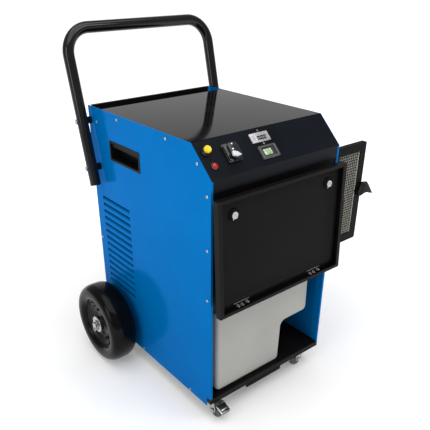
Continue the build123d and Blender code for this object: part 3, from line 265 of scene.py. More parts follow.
def make_materials():
    """Every finish on the machine, by the name that the rest of the script uses."""
    return {
        "blue": blue_coat("blue_powder_coat"),
        # The left panel's coat has painted shade inside its louvres.
        "blue_painted_louvre_shade": blue_with_painted_louvre_shade(),
        "top": finish("black_gloss_sheet", (0.003, 0.003, 0.003), rough=0.07, spread=0.02, grain=500.0, bump=0.02,
                      specular=0.035),
        "console": finish("black_console", (0.003, 0.004, 0.007), (0.004, 0.006, 0.010), rough=0.32, grain=1600.0,
                          bump=0.25, specular=0.08),
        "black": finish("black_powder_coat", (0.004, 0.0035, 0.0035), (0.006, 0.005, 0.005), rough=0.42, grain=1300.0,
                        bump=0.2, specular=0.08),
        "liner": finish("door_liner_sheet", (0.007, 0.006, 0.006), (0.009, 0.008, 0.008), rough=0.5, grain=1500.0,
                        bump=0.25, specular=0.04),
        "dark": finish("inner_sheet", (0.003, 0.003, 0.003), rough=0.6, bump=0.2, specular=0.08),
        "tube": finish("black_tube", (0.004, 0.004, 0.005), rough=0.1, spread=0.03, grain=420.0, bump=0.03,
                       coat=0.1, coat_rough=0.04, specular=0.25),
        "plastic": finish("black_plastic", (0.003, 0.003, 0.003), rough=0.36, grain=2200.0, bump=0.35,
                          specular=0.08),
        "gloss": finish("black_moulding", (0.006, 0.006, 0.006), rough=0.2, spread=0.04, grain=1500.0, bump=0.1),
        "rubber": finish("black_rubber", (0.005, 0.005, 0.005), (0.008, 0.007, 0.007), rough=0.62, spread=0.08,
                         mottle=22.0, grain=1200.0, bump=0.45, specular=0.12),
        "tyre": finish("tyre_rubber", (0.002, 0.002, 0.002), (0.003, 0.003, 0.003), rough=0.17, spread=0.04,
                       mottle=14.0, grain=900.0, bump=0.08, depth=0.0002, specular=0.11),
        "rim": finish("black_rim", (0.004, 0.004, 0.004), rough=0.3, spread=0.06, grain=700.0, bump=0.1,
                      specular=0.3),
        "zinc": finish("zinc_plate", (0.42, 0.43, 0.44), (0.52, 0.52, 0.49), rough=0.26, spread=0.09, mottle=70.0,
                       grain=1500.0, bump=0.12, metal=1.0),
        "satin": finish("satin_zinc", (0.40, 0.44, 0.41), (0.46, 0.50, 0.47), rough=0.38, mottle=70.0,
                        grain=1500.0, bump=0.12, metal=0.6),
        "steel": finish("dark_steel", (0.10, 0.11, 0.12), (0.16, 0.17, 0.18), rough=0.3, spread=0.1, mottle=60.0,
                        grain=1400.0, bump=0.15, metal=1.0),
        "caster": finish("grey_tread", (0.05, 0.055, 0.06), (0.075, 0.08, 0.085), rough=0.5, mottle=40.0,
                         grain=1500.0, bump=0.3),
        "wire": finish("filter_wire", (0.24, 0.235, 0.20), (0.32, 0.31, 0.265), rough=0.42, spread=0.1,
                       mottle=55.0, grain=2500.0, bump=0.2, metal=0.2),
        "foam": finish("filter_foam", (0.006, 0.006, 0.006), (0.012, 0.012, 0.011), rough=0.9, mottle=400.0,
                       grain=1800.0, bump=0.6, specular=0.1),
        "tank": finish("tank_plastic", (0.37, 0.37, 0.345), (0.42, 0.42, 0.395), rough=0.4, spread=0.06, mottle=5.0,
                       grain=650.0, bump=0.1, under=0.3, specular=0.3),
        "float": finish("float_plastic", (0.75, 0.75, 0.72), rough=0.4, under=0.2),
        "yellow": finish("yellow_cap", (0.70, 0.53, 0.005), (0.75, 0.58, 0.01), rough=0.3, grain=2500.0, bump=0.1),
        "red": finish("red_lens", (0.36, 0.001, 0.002), (0.42, 0.004, 0.004), rough=0.12, spread=0.02, mottle=60.0,
                      bump=0.0, coat=0.3, coat_rough=0.03, specular=0.3),
        "pointer": finish("pointer_cap", (0.50, 0.54, 0.60), (0.58, 0.61, 0.66), rough=0.38, mottle=60.0,
                          grain=2500.0, bump=0.2),
        "meter": finish("meter_plate", (0.36, 0.35, 0.37), (0.46, 0.45, 0.47), rough=0.4, mottle=120.0,
                        grain=2500.0, bump=0.2, metal=0.5),
        "bezel": finish("grey_bezel", (0.050, 0.050, 0.055), (0.065, 0.065, 0.07), rough=0.4, mottle=80.0,
                        grain=2500.0, bump=0.3),
        "lcd": finish("lcd_glass", (0.36, 0.50, 0.27), (0.42, 0.56, 0.32), rough=0.2, mottle=50.0, bump=0.0,
                      coat=0.5, coat_rough=0.05),
        "ink": finish("segment_ink", (0.012, 0.016, 0.012), rough=0.5, bump=0.0),
        "white": finish("white_plastic", (0.85, 0.85, 0.84), rough=0.35, mottle=80.0, grain=2500.0, bump=0.1),
        "compressor": finish("compressor_paint", (0.010, 0.010, 0.010), rough=0.25, bump=0.1),
        "fins": finish("coil_fins", (0.62, 0.63, 0.65), rough=0.35, metal=1.0, stretch=(1, 12, 1), bump=0.2),
        "copper": finish("copper_pipe", (0.70, 0.33, 0.20), (0.55, 0.24, 0.15), rough=0.3, spread=0.1,
                         mottle=40.0, metal=1.0),
    }


# ---------------------------------------------------------------- mesh tools
class Shape:
    """Closed forms gathered into one mesh, each drawn in its own place."""

    def __init__(self):
        self.mesh = bmesh.new()

    def take(self, part, place, paint=0):
        """Add a finished form, with outward normals, in a place."""
        bmesh.ops.recalc_face_normals(part, faces=part.faces)
        part.transform(place)
        for face in part.faces:
            face.material_index = paint
            face.smooth = True
        data = bpy.data.meshes.new("form")
        part.to_mesh(data)
        part.free()
        self.mesh.from_mesh(data)
        bpy.data.meshes.remove(data)

    def sheet(self, outline):
        """A single flat face on z = 0."""
        part = bmesh.new()
        part.faces.new([part.verts.new((x, y, 0.0)) for x, y in outline])
        self.take(part, Matrix())

    def lathe(self, profile, place=Matrix(), steps=96, paint=0, loop=False):
        """A profile of (radius, height) turned about the place's Z axis."""
        part = bmesh.new()
        rings = []
        for radius, height in profile:
            if radius < 1e-7:
                rings.append([part.verts.new((0.0, 0.0, height))] * steps)
                continue
            turns = [2 * pi * i / steps for i in range(steps)]
            rings.append([part.verts.new((radius * cos(t), radius * sin(t), height)) for t in turns])
        pairs = list(zip(rings, rings[1:]))
        if loop:
            pairs.append((rings[-1], rings[0]))
        for low, high in pairs:
            for i in range(steps):
                j = (i + 1) % steps
                corners = [low[i], low[j], high[j], high[i]]
                unique = [v for k, v in enumerate(corners) if v not in corners[:k]]
                if len(unique) > 2:
                    part.faces.new(unique)
        self.take(part, place, paint)

    def prism(self, outline, low, high, place=Matrix(), bevel=0.0, segments=2, paint=0, taper=1.0):
        """An outline pulled from one height to another, with rounded edges."""
        part = bmesh.new()
        bottom = [part.verts.new((x, y, low)) for x, y in outline]
        top = [part.verts.new((x * taper, y * taper, high)) for x, y in outline]
        part.faces.new(bottom[::-1])
        part.faces.new(top)
        count = len(outline)
        for i in range(count):
            j = (i + 1) % count
            part.faces.new((bottom[i], bottom[j], top[j], top[i]))
        if bevel > 0:
            bmesh.ops.bevel(
                part, geom=part.edges[:], offset=bevel, segments=segments, affect="EDGES", profile=0.5,
                clamp_overlap=True,
            )
        self.take(part, place, paint)

    def block(self, low, high, place=Matrix(), bevel=0.0, segments=2, paint=0):
        """A box between two corners, with rounded edges."""
        outline = [(low[0], low[1]), (high[0], low[1]), (high[0], high[1]), (low[0], high[1])]
        self.prism(outline, low[2], high[2], place, bevel, segments, paint)

    def bored_plate(self, outline, bore, low, high, place=Matrix(), paint=0):
        """A plate between two heights, with a round hole about the place's Z axis."""
        part = bmesh.new()
        turns = [atan2(y, x) for x, y in outline]
        hole = [(bore * cos(t), bore * sin(t)) for t in turns]
        rings = [[part.verts.new((x, y, z)) for x, y in line]
                 for line, z in ((outline, low), (outline, high), (hole, high), (hole, low))]
        count = len(outline)
        for one, two in zip(rings, rings[1:] + rings[:1]):
            for i in range(count):
                j = (i + 1) % count
                part.faces.new((one[i], one[j], two[j], two[i]))
        self.take(part, place, paint)

    def tube(self, points, radius, steps=12, place=Matrix(), paint=0, loop=False):
        """A round bar along a line of points."""
        part = bmesh.new()
        spots = [Vector(point) for point in points]
        count = len(spots)
        rings = []
        side = None
        for i, spot in enumerate(spots):
            before = spots[(i - 1) % count] if loop or i else spot
            after = spots[(i + 1) % count] if loop or i < count - 1 else spot
            ahead = (after - before).normalized()
            if side is None:
                side = ahead.orthogonal().normalized()
            side = (side - ahead * side.dot(ahead)).normalized()
            other = ahead.cross(side)
            turns = [2 * pi * k / steps for k in range(steps)]
            rings.append([part.verts.new(spot + (side * cos(t) + other * sin(t)) * radius) for t in turns])
        pairs = list(zip(rings, rings[1:]))
        if loop:
            pairs.append((rings[-1], rings[0]))
        for low, high in pairs:
            for k in range(steps):
                m = (k + 1) % steps
                part.faces.new((low[k], low[m], high[m], high[k]))
        if not loop:
            part.faces.new(rings[0][::-1])
            part.faces.new(rings[-1])
        self.take(part, place, paint)

    def piece(self, name, body, *materials, replaces=(), angle=38.0, slot=None):
        """The finished mesh as a piece that rides on a body."""
        data = bpy.data.meshes.new(name)
        self.mesh.to_mesh(data)
        self.mesh.free()
        for material in materials:
            data.materials.append(material)
        data.set_sharp_from_angle(angle=radians(angle))
        made = bpy.data.objects.new(name, data)
        bpy.context.scene.collection.objects.link(made)
        if body is not None:
            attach(made, body)
        if replaces:
            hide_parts(*replaces)
        return made


def axes(origin, x_axis, z_axis):
    """A place whose X and Z point along two directions."""
    z = Vector(z_axis).normalized()
    x = Vector(x_axis)
    x = (x - z * x.dot(z)).normalized()
    y = z.cross(x)
    turn = Matrix((x, y, z)).transposed().to_4x4()
    return Matrix.Translation(Vector(origin)) @ turn


def arc(centre, radius, start, end, steps):
    """Points on an arc, in degrees."""
    angles = [radians(start + (end - start) * i / steps) for i in range(steps + 1)]
    return [(centre[0] + radius * cos(a), centre[1] + radius * sin(a)) for a in angles]


def rounded(width, height, radius, steps=6, centre=(0.0, 0.0)):
    """A rectangle's outline with round corners."""
    x, y = width / 2 - radius, height / 2 - radius
    points = []
    for dx, dy, start in ((x, y, 0), (-x, y, 90), (-x, -y, 180), (x, -y, 270)):
        points += arc((centre[0] + dx, centre[1] + dy), radius, start, start + 90, steps)
    return points


def hexagon(radius, centre=(0.0, 0.0)):
    """A regular six-sided outline."""
    return arc(centre, radius, 0, 300, 5)


# ---------------------------------------------------------------- rear wheels
TYRE_BEAD = 74 * MM


def tyre_profile(half, outer, bead):
    """A smooth balloon section whose side walls tuck in to the bead."""
    middle_radius = (outer + bead) / 2
    swell = (outer - bead) / 2
    right = [(bead, half - 24 * MM), (bead + 0.5 * MM, half - 15 * MM), (bead + 2 * MM, half - 13 * MM)]
    for degrees in range(-52, 91, 6):
        a = radians(degrees)
        lift = abs(sin(a)) ** 0.78 * (1 if a >= 0 else -1)
        right.append((middle_radius + swell * lift, half * cos(a) ** 0.78 if degrees < 90 else 0.0))
    left = [(radius, -height) for radius, height in reversed(right[:-1])]
    return right + left


def rear_wheel(side, name, paint):
    """Tyre, dished rim with its bolts and valve, about the axle."""
    low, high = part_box(f"{name}_tyre")
    centre = (low + high) / 2
    half = (high.x - low.x) / 2
    outer = (high.z - low.z) / 2
    place = axes(centre, (0, 1, 0), (side, 0, 0))
    bead = TYRE_BEAD
    body = f"{name}_wheel"
    tyre = Shape()
    tyre.lathe(tyre_profile(half, outer, bead), place, steps=160, loop=True)
    tyre.piece(f"{name}_tyre_moulded", body, paint["tyre"], replaces=[f"{name}_tyre"], slot="tyre", angle=50)

    rim = Shape()
    hub_low, hub_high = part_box(f"{name}_rim")
    reach = (hub_high.x - hub_low.x) / 2
    hub_middle = ((hub_low.x + hub_high.x) / 2 - centre.x) * side
    hub_out = hub_middle + reach
    hub_in = hub_middle - reach
    flange = [
        (bead - 1 * MM, half - 24 * MM), (bead - 1 * MM, half - 14.5 * MM), (bead - 2 * MM, half - 12.2 * MM),
        (bead - 4 * MM, half - 11.6 * MM), (bead - 5.5 * MM, half - 13.5 * MM), (bead - 6.5 * MM, half - 17 * MM),
        (bead - 9 * MM, half - 19 * MM), (bead - 12 * MM, half - 19 * MM), (bead - 13.5 * MM, half - 21 * MM),
        (bead - 15 * MM, 20 * MM), (56 * MM, 17 * MM), (44 * MM, 15.5 * MM), (36 * MM, 17 * MM), (29 * MM, 19 * MM),
        (25 * MM, 21 * MM), (23 * MM, 23 * MM), (22 * MM, hub_out - 2 * MM), (20.5 * MM, hub_out),
        (10.05 * MM, hub_out),
    ]
    inner = [(radius, -height) for radius, height in reversed(flange)]
    inner[0] = (10.05 * MM, hub_in)
    inner[1] = (20.5 * MM, hub_in)
    inner[2] = (22 * MM, hub_in + 2 * MM)
    rim.lathe(flange + inner, place, steps=120, loop=True)
    for i in range(5):
        turn = Matrix.Rotation(2 * pi * (i + 0.25) / 5, 4, "Z")
        spot = place @ turn @ Matrix.Translation((43 * MM, 0, 0))
        rim.prism(hexagon(5 * MM), 15.4 * MM, 20 * MM, spot, bevel=0.6 * MM, paint=1)
        rim.lathe([(0, 22 * MM), (2.6 * MM, 22 * MM), (3 * MM, 21.6 * MM), (3 * MM, 16 * MM), (0, 16 * MM)], spot, 20,
                  paint=1)
    valve = place @ Matrix.Rotation(2.2, 4, "Z") @ Matrix.Translation((51 * MM, 0, 0))
    rim.lathe([(0, 30 * MM), (2.6 * MM, 30 * MM), (3.4 * MM, 29 * MM), (3.4 * MM, 22 * MM), (4.5 * MM, 20 * MM),
               (4.5 * MM, 16 * MM), (0, 16 * MM)], valve, 20)
    rim.piece(f"{name}_rim_pressed", body, paint["rim"], paint["steel"], replaces=[f"{name}_rim"],
              slot="black_plastic", angle=32)


def hub_fasteners(paint):
    """Washers, spacers and split pins on the axle."""
    shape = Shape()
    axle_low, axle_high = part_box("rear_axle")
    centre = (axle_low + axle_high) / 2
    bore = 10.05 * MM
    for side, name in ((-1, "left"), (1, "right")):
        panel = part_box(f"{name}_panel")[0 if side < 0 else 1].x
        rim_low, rim_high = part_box(f"{name}_rim")
        inner = (rim_high.x if side < 0 else rim_low.x)
        outer = (rim_low.x if side < 0 else rim_high.x)
        place = axes((0, centre.y, centre.z), (0, 1, 0), (side, 0, 0))
        for start, thick, radius in ((outer * side + 0.4 * MM, 2.4 * MM, 26.8 * MM),
                                     (inner * side - 2.8 * MM, 2.4 * MM, 21 * MM),
                                     (panel * side + 0.1 * MM, (inner - panel) * side - 3 * MM, 14 * MM)):
            edge = 0.5 * MM
            shape.lathe(
                [(bore, start), (radius - edge, start), (radius, start + edge), (radius, start + thick - edge),
                 (radius - edge, start + thick), (bore, start + thick)], place, 64, loop=True,
            )
        # A hexagonal collar between the washer and the pin.
        collar = outer * side + 2.9 * MM
        ring = hexagon(15 * MM)
        shape.prism(ring, collar, collar + 3.4 * MM, place, bevel=0.7 * MM)
        # The split pin passes through the axle, with its eye hanging below and its legs spread above.
        pin = (axle_high.x - centre.x) - 6 * MM
        base = Vector((side * pin + centre.x, centre.y, centre.z))
        turn = Matrix.Rotation(radians(-24 * side), 4, "X")
        for sign in (-1, 1):
            legs = [(0, sign * 0.9, -15), (0, sign * 0.9, 12), (0, sign * 3.5, 16), (0, sign * 7.5, 17)]
            shape.tube([base + turn @ (Vector(leg) * MM) for leg in legs], 0.95 * MM, 10)
        turns = [2 * pi * i / 32 for i in range(32)]
        eye = [base + turn @ (Vector((0, 6.4 * sin(a), -22 + 8 * cos(a))) * MM) for a in turns]
        shape.tube(eye, 1.75 * MM, 12, loop=True)
    shape.piece("hub_washers_and_pins", "cabinet", paint["zinc"], replaces=["hub_fasteners"], slot="zinc")


# ---------------------------------------------------------------- console
NORMAL = Vector(JOINTS["switch_turn"]["axis"])
SWITCH_PLACE = Vector(JOINTS["switch_turn"]["pos_m"])


def on_console(node):
    """The console's frame at the middle of a CAD node: X to the right, Y up the slope, Z outwards."""
    spot = middle(node)
    spot = spot - NORMAL * (spot - SWITCH_PLACE).dot(NORMAL)
    return axes(spot, (1, 0, 0), NORMAL)


def spot_on_console(x, up):
    """A console place from the switch, in metres across and up the slope."""
    base = axes(SWITCH_PLACE, (1, 0, 0), NORMAL)
    return base @ Matrix.Translation((x, up, 0))


def dome(radius, start, wall, crown, steps=8):
    """A profile of a round cap with a straight wall and a domed top."""
    points = [(radius, start), (radius, start + wall)]
    for i in range(1, steps + 1):
        a = radians(90 * i / steps)
        points.append((radius * cos(a), start + wall + crown * sin(a)))
    points[-1] = (0.0, start + wall + crown)
    return [(0.0, start)] + points


def button_and_lamp(paint):
    """Yellow push button on its black skirt, and the red lamp in its ring."""
    button = on_console("yellow_button")
    lamp = on_console("red_lamp")
    skirt = Shape()
    skirt.lathe(
        [(9.05 * MM, 1.2 * MM), (12 * MM, 1.2 * MM), (12.0 * MM, 2.4 * MM), (11.2 * MM, 3.4 * MM),
         (11.0 * MM, 8.2 * MM), (10.6 * MM, 9 * MM), (9.4 * MM, 9 * MM), (9.05 * MM, 8.5 * MM)],
        button, 64, loop=True,
    )
    for i in range(24):
        turn = button @ Matrix.Rotation(2 * pi * i / 24, 4, "Z")
        skirt.block((10.7 * MM, -0.45 * MM, 3.6 * MM), (11.6 * MM, 0.45 * MM, 7.9 * MM), turn, bevel=0.15 * MM)
    skirt.lathe(
        [(7.6 * MM, 0.2 * MM), (10 * MM, 0.2 * MM), (10 * MM, 1.6 * MM), (9.4 * MM, 2.8 * MM), (8.2 * MM, 3 * MM),
         (7.6 * MM, 2.6 * MM)], lamp, 64, loop=True,
    )
    skirt.piece("button_skirt_and_lamp_ring", "cabinet", paint["gloss"], replaces=["console_bezels"],
                slot="black_plastic")
    cap = Shape()
    cap.lathe(
        [(0, 4.5 * MM), (8.9 * MM, 4.5 * MM), (8.9 * MM, 13.6 * MM), (8.5 * MM, 14.7 * MM), (7.6 * MM, 15.3 * MM),
         (6.6 * MM, 15.2 * MM), (5 * MM, 14.9 * MM), (0, 14.7 * MM)], button, 64,
    )
    cap.piece("yellow_button_cap", "button", paint["yellow"], replaces=["yellow_button"], slot="yellow")
    lens = Shape()
    lens.lathe(dome(7.4 * MM, 0.3 * MM, 2.6 * MM, 5.0 * MM), lamp, 64)
    lens.piece("red_lamp_lens", "cabinet", paint["red"], replaces=["red_lamp"], slot="red")


def main_switch(paint):
    """Stepped switch block with its indicator dots, and the pale pointer knob in its lower half."""
    plate = spot_on_console(1.5 * MM, 11 * MM)
    block = spot_on_console(6 * MM, 12 * MM)
    base = Shape()
    base.prism(rounded(43 * MM, 49 * MM, 5 * MM), 0.1 * MM, 5.2 * MM, plate, bevel=1.0 * MM, segments=3)
    base.prism(rounded(39 * MM, 46 * MM, 6 * MM), 5.0 * MM, 9 * MM, plate, bevel=0.9 * MM, segments=3)
    base.prism(rounded(29.5 * MM, 42 * MM, 9 * MM), 8.8 * MM, 14 * MM, block, bevel=1.4 * MM, segments=3)
    for x, y, r in ((-1.0, 16.0, 2.0), (-5.0, 2.6, 2.3)):
        dot = block @ Matrix.Translation((x * MM, y * MM, 0))
        base.lathe(dome(r * MM, 13.9 * MM, 0.3 * MM, 0.5 * MM, 4), dot, 24, paint=1)
    base.piece("switch_block", "cabinet", paint["gloss"], paint["white"], replaces=["switch_base"],
               slot="black_plastic")
    place = spot_on_console(0.0, 0.0)
    knob = Shape()
    knob.lathe([(0, 14.3 * MM), (11.4 * MM, 14.3 * MM), (11.4 * MM, 16.2 * MM), (10.6 * MM, 17 * MM),
                (0, 17.2 * MM)], place, 72)
    # The grip points at the chosen position, down and to the right.
    turn = place @ Matrix.Rotation(radians(-22), 4, "Z") @ Matrix.Translation((0, -2.5 * MM, 0))
    grip = [(-12.0, -4.6), (-9.0, -6.6), (2.0, -6.2), (13.0, 0.0), (2.0, 6.2), (-9.0, 6.6), (-12.0, 4.6)]
    knob.prism([(x * MM, y * MM) for x, y in grip], 17.0 * MM, 22.4 * MM, turn, bevel=1.4 * MM, segments=3,
               paint=1)
    knob.piece("switch_pointer", "knob", paint["gloss"], paint["pointer"], replaces=["switch_knob"], slot="pointer")


SEGMENTS = {
    "0": "abcdef", "1": "bc", "2": "abged", "3": "abgcd", "4": "fgbc", "5": "afgcd", "6": "afgedc", "7": "abc",
    "8": "abcdefg", "9": "abcdfg",
}


def digit(shape, text, place, width, height, level, paint):
    """A seven-segment figure of thin raised bars."""
    w, h, bar = width / 2, height / 2, height * 0.09
    bars = {
        "a": ((-w, h - bar), (w, h)), "b": ((w - bar, 0), (w, h)), "c": ((w - bar, -h), (w, 0)),
        "d": ((-w, -h), (w, -h + bar)), "e": ((-w, -h), (-w + bar, 0)), "f": ((-w, 0), (-w + bar, h)),
        "g": ((-w, -bar / 2), (w, bar / 2)),
    }
    for key in SEGMENTS[text]:
        low, high = bars[key]
        shape.block((*low, level), (*high, level + 0.12 * MM), place, paint=paint)


def meters(paint):
    """Hour meter plate with its number wheels, and the humidity display in its bevelled frame."""
    plate = on_console("hour_meter")
    meter = Shape()
    meter.prism(rounded(60 * MM, 26 * MM, 1.6 * MM), 0.1 * MM, 3.0 * MM, plate, bevel=0.5 * MM)
    meter.prism(rounded(57 * MM, 23 * MM, 1.2 * MM), 2.9 * MM, 3.5 * MM, plate, bevel=0.2 * MM)
    window = plate @ Matrix.Translation((4.5 * MM, -2 * MM, 0))
    for low, high in (((-16, -7), (16, -5.6)), ((-16, 5.6), (16, 7)), ((-16, -7), (-14.6, 7)), ((14.6, -7), (16, 7))):
        meter.block((low[0] * MM, low[1] * MM, 3.2 * MM), (high[0] * MM, high[1] * MM, 4 * MM), window,
                    bevel=0.25 * MM)
    for row in (8.4, 9.8):
        meter.block((-14 * MM, (row - 2) * MM, 3.4 * MM), (10 * MM, (row - 1.5) * MM, 3.56 * MM), plate, paint=1)
    for row in range(6):
        y = (6.5 - 2.6 * row) * MM
        meter.block((-25 * MM, y, 3.4 * MM), (-16 * MM, y + 0.7 * MM, 3.56 * MM), plate, paint=1)
    meter.piece("hour_meter_plate", "cabinet", paint["meter"], paint["bezel"], replaces=["hour_meter"], slot="meter")

    screen = on_console("display_bezel")
    bezel = Shape()
    frame_width, frame_height = 56 * MM, 36 * MM
    opening = (41 * MM, 24 * MM)
    steps = [
        (frame_width, frame_height, 0.1 * MM), (frame_width, frame_height, 3.6 * MM),
        (frame_width - 1.6 * MM, frame_height - 1.6 * MM, 5.4 * MM),
        (frame_width - 3.4 * MM, frame_height - 3.4 * MM, 6.0 * MM),
        (opening[0] + 2.4 * MM, opening[1] + 2.4 * MM, 6.0 * MM), (opening[0], opening[1], 5.0 * MM),
        (opening[0], opening[1], 0.8 * MM),
    ]
    ring_mesh = bmesh.new()
    rings = []
    for width, height, level in steps:
        outline = rounded(width, height, 3 * MM if width > 50 * MM else 1.2 * MM, 5)
        rings.append([ring_mesh.verts.new((x, y, level)) for x, y in outline])
    count = len(rings[0])
    for low, high in zip(rings, rings[1:]):
        for i in range(count):
            j = (i + 1) % count
            ring_mesh.faces.new((low[i], low[j], high[j], high[i]))
    ring_mesh.faces.new(rings[-1])
    ring_mesh.faces.new(rings[0][::-1])
    bezel.take(ring_mesh, screen)
    bezel.piece("display_frame", "cabinet", paint["bezel"], replaces=["display_bezel"], slot="bezel")

    glass = Shape()
    glass.prism(rounded(40.8 * MM, 23.8 * MM, 1.2 * MM), 0.9 * MM, 2.2 * MM, screen, paint=1)
    lcd = screen @ Matrix.Translation((-3.5 * MM, 0, 0))
    glass.prism(rounded(25 * MM, 16 * MM, 0.6 * MM), 2.1 * MM, 2.9 * MM, lcd, bevel=0.15 * MM)
    for i, text in enumerate("55"):
        spot = lcd @ Matrix.Translation(((i - 0.5) * 8.6 * MM, 1.2 * MM, 0))
        digit(glass, text, spot, 5 * MM, 9 * MM, 2.88 * MM, 1)
    glass.block((-9 * MM, -6.4 * MM, 2.88 * MM), (9 * MM, -5.7 * MM, 3.0 * MM), lcd, paint=1)
    glass.prism(rounded(29 * MM, 11 * MM, 0.5 * MM), 3.3 * MM, 3.62 * MM, window, paint=1)
    for i, text in enumerate("00000"):
        cell = window @ Matrix.Translation(((i - 2) * 5.3 * MM, 0, 0))
        glass.prism(rounded(4.5 * MM, 7.4 * MM, 0.5 * MM), 3.6 * MM, 3.72 * MM, cell, paint=2)
        digit(glass, text, cell, 2.2 * MM, 4.2 * MM, 3.7 * MM, 3)
    glass.piece("display_glass", "cabinet", paint["lcd"], paint["ink"], paint["dark"], paint["white"],
                replaces=["display_screens"], slot="screen")


# ---------------------------------------------------------------- filter door
def filter_door(paint):
    """Woven wire between the frame's members, and the wing latch."""
    low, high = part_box("filter_mesh")
    y = (low.y + high.y) / 2
    wire = 1.05 * MM
    pitch = 8.0 * MM
    woven = Shape()
    columns = round((high.x - low.x) / pitch)
    rows = round((high.z - low.z) / pitch)
    for i in range(columns + 1):
        x = low.x + (high.x - low.x) * i / columns
        points = []
        for j in range(2 * rows + 1):
            z = low.z + (high.z - low.z) * j / (2 * rows)
            points.append((x, y + 0.5 * MM * cos(pi * j / 2 + pi * i), z))
        woven.tube(points, wire, 6)
    for j in range(rows + 1):
        z = low.z + (high.z - low.z) * j / rows
        points = []
        for i in range(2 * columns + 1):
            x = low.x + (high.x - low.x) * i / (2 * columns)
            points.append((x, y - 0.5 * MM * cos(pi * i / 2 + pi * j), z))
        woven.tube(points, wire, 6)
    woven.block((low.x, y + 2.2 * MM, low.z), (high.x, y + 7.5 * MM, high.z), bevel=1.0 * MM, paint=1)
    woven.piece("filter_wire_cloth", "filter_door", paint["wire"], paint["foam"], replaces=["filter_mesh"],
                slot="mesh", angle=80)

    latch = JOINTS["filter_latch_turn"]
    hub = Vector(latch["pos_m"])
    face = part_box("filter_frame")[0].y
    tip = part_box("filter_latch")[1].x - hub.x
    place = axes((hub.x, face, hub.z), (1, 0, 0), (0, -1, 0))
    wing = Shape()
    wing.lathe([(0, 0.4 * MM), (11 * MM, 0.4 * MM), (11 * MM, 2.5 * MM), (10 * MM, 3.4 * MM), (7.5 * MM, 3.8 * MM),
                (7.2 * MM, 8.2 * MM), (0, 8.4 * MM)], place, 48)
    outline = [(-8, -8), (-8.5, 0), (-8, 8), (-3, 22), (2, 31.5), (5, 32.8), (17, 31), (29, 28.8)]
    outline += [(37, 19), (47, 6), (56, -6), (tip / MM, -16.9), (47, -11.4), (37, -7.5), (27, -4.6), (17, -7.5)]
    outline += [(8, -11), (-1, -11)]
    points = [(x * MM, v * MM) for x, v in outline][::-1]
    wing.prism(points, 4.0 * MM, 8.8 * MM, place, bevel=1.3 * MM, segments=3)
    rib = [(2, -5), (22, -3), (44, -6), (50, -8), (30, 22), (6, 25)]
    wing.prism([(x * MM, v * MM) for x, v in rib][::-1], 8.6 * MM, 8.95 * MM, place, bevel=0.15 * MM)
    wing.lathe([(0, -19 * MM), (4.6 * MM, -19 * MM), (5 * MM, -18.5 * MM), (5 * MM, 1 * MM)], place, 32, paint=1)
    wing.block((-4 * MM, -4 * MM, -19 * MM), (4 * MM, 20 * MM, -17 * MM), place, bevel=0.5 * MM, paint=1)
    wing.piece("wing_latch", "latch", paint["plastic"], paint["zinc"], replaces=["filter_latch"],
               slot="black_plastic")


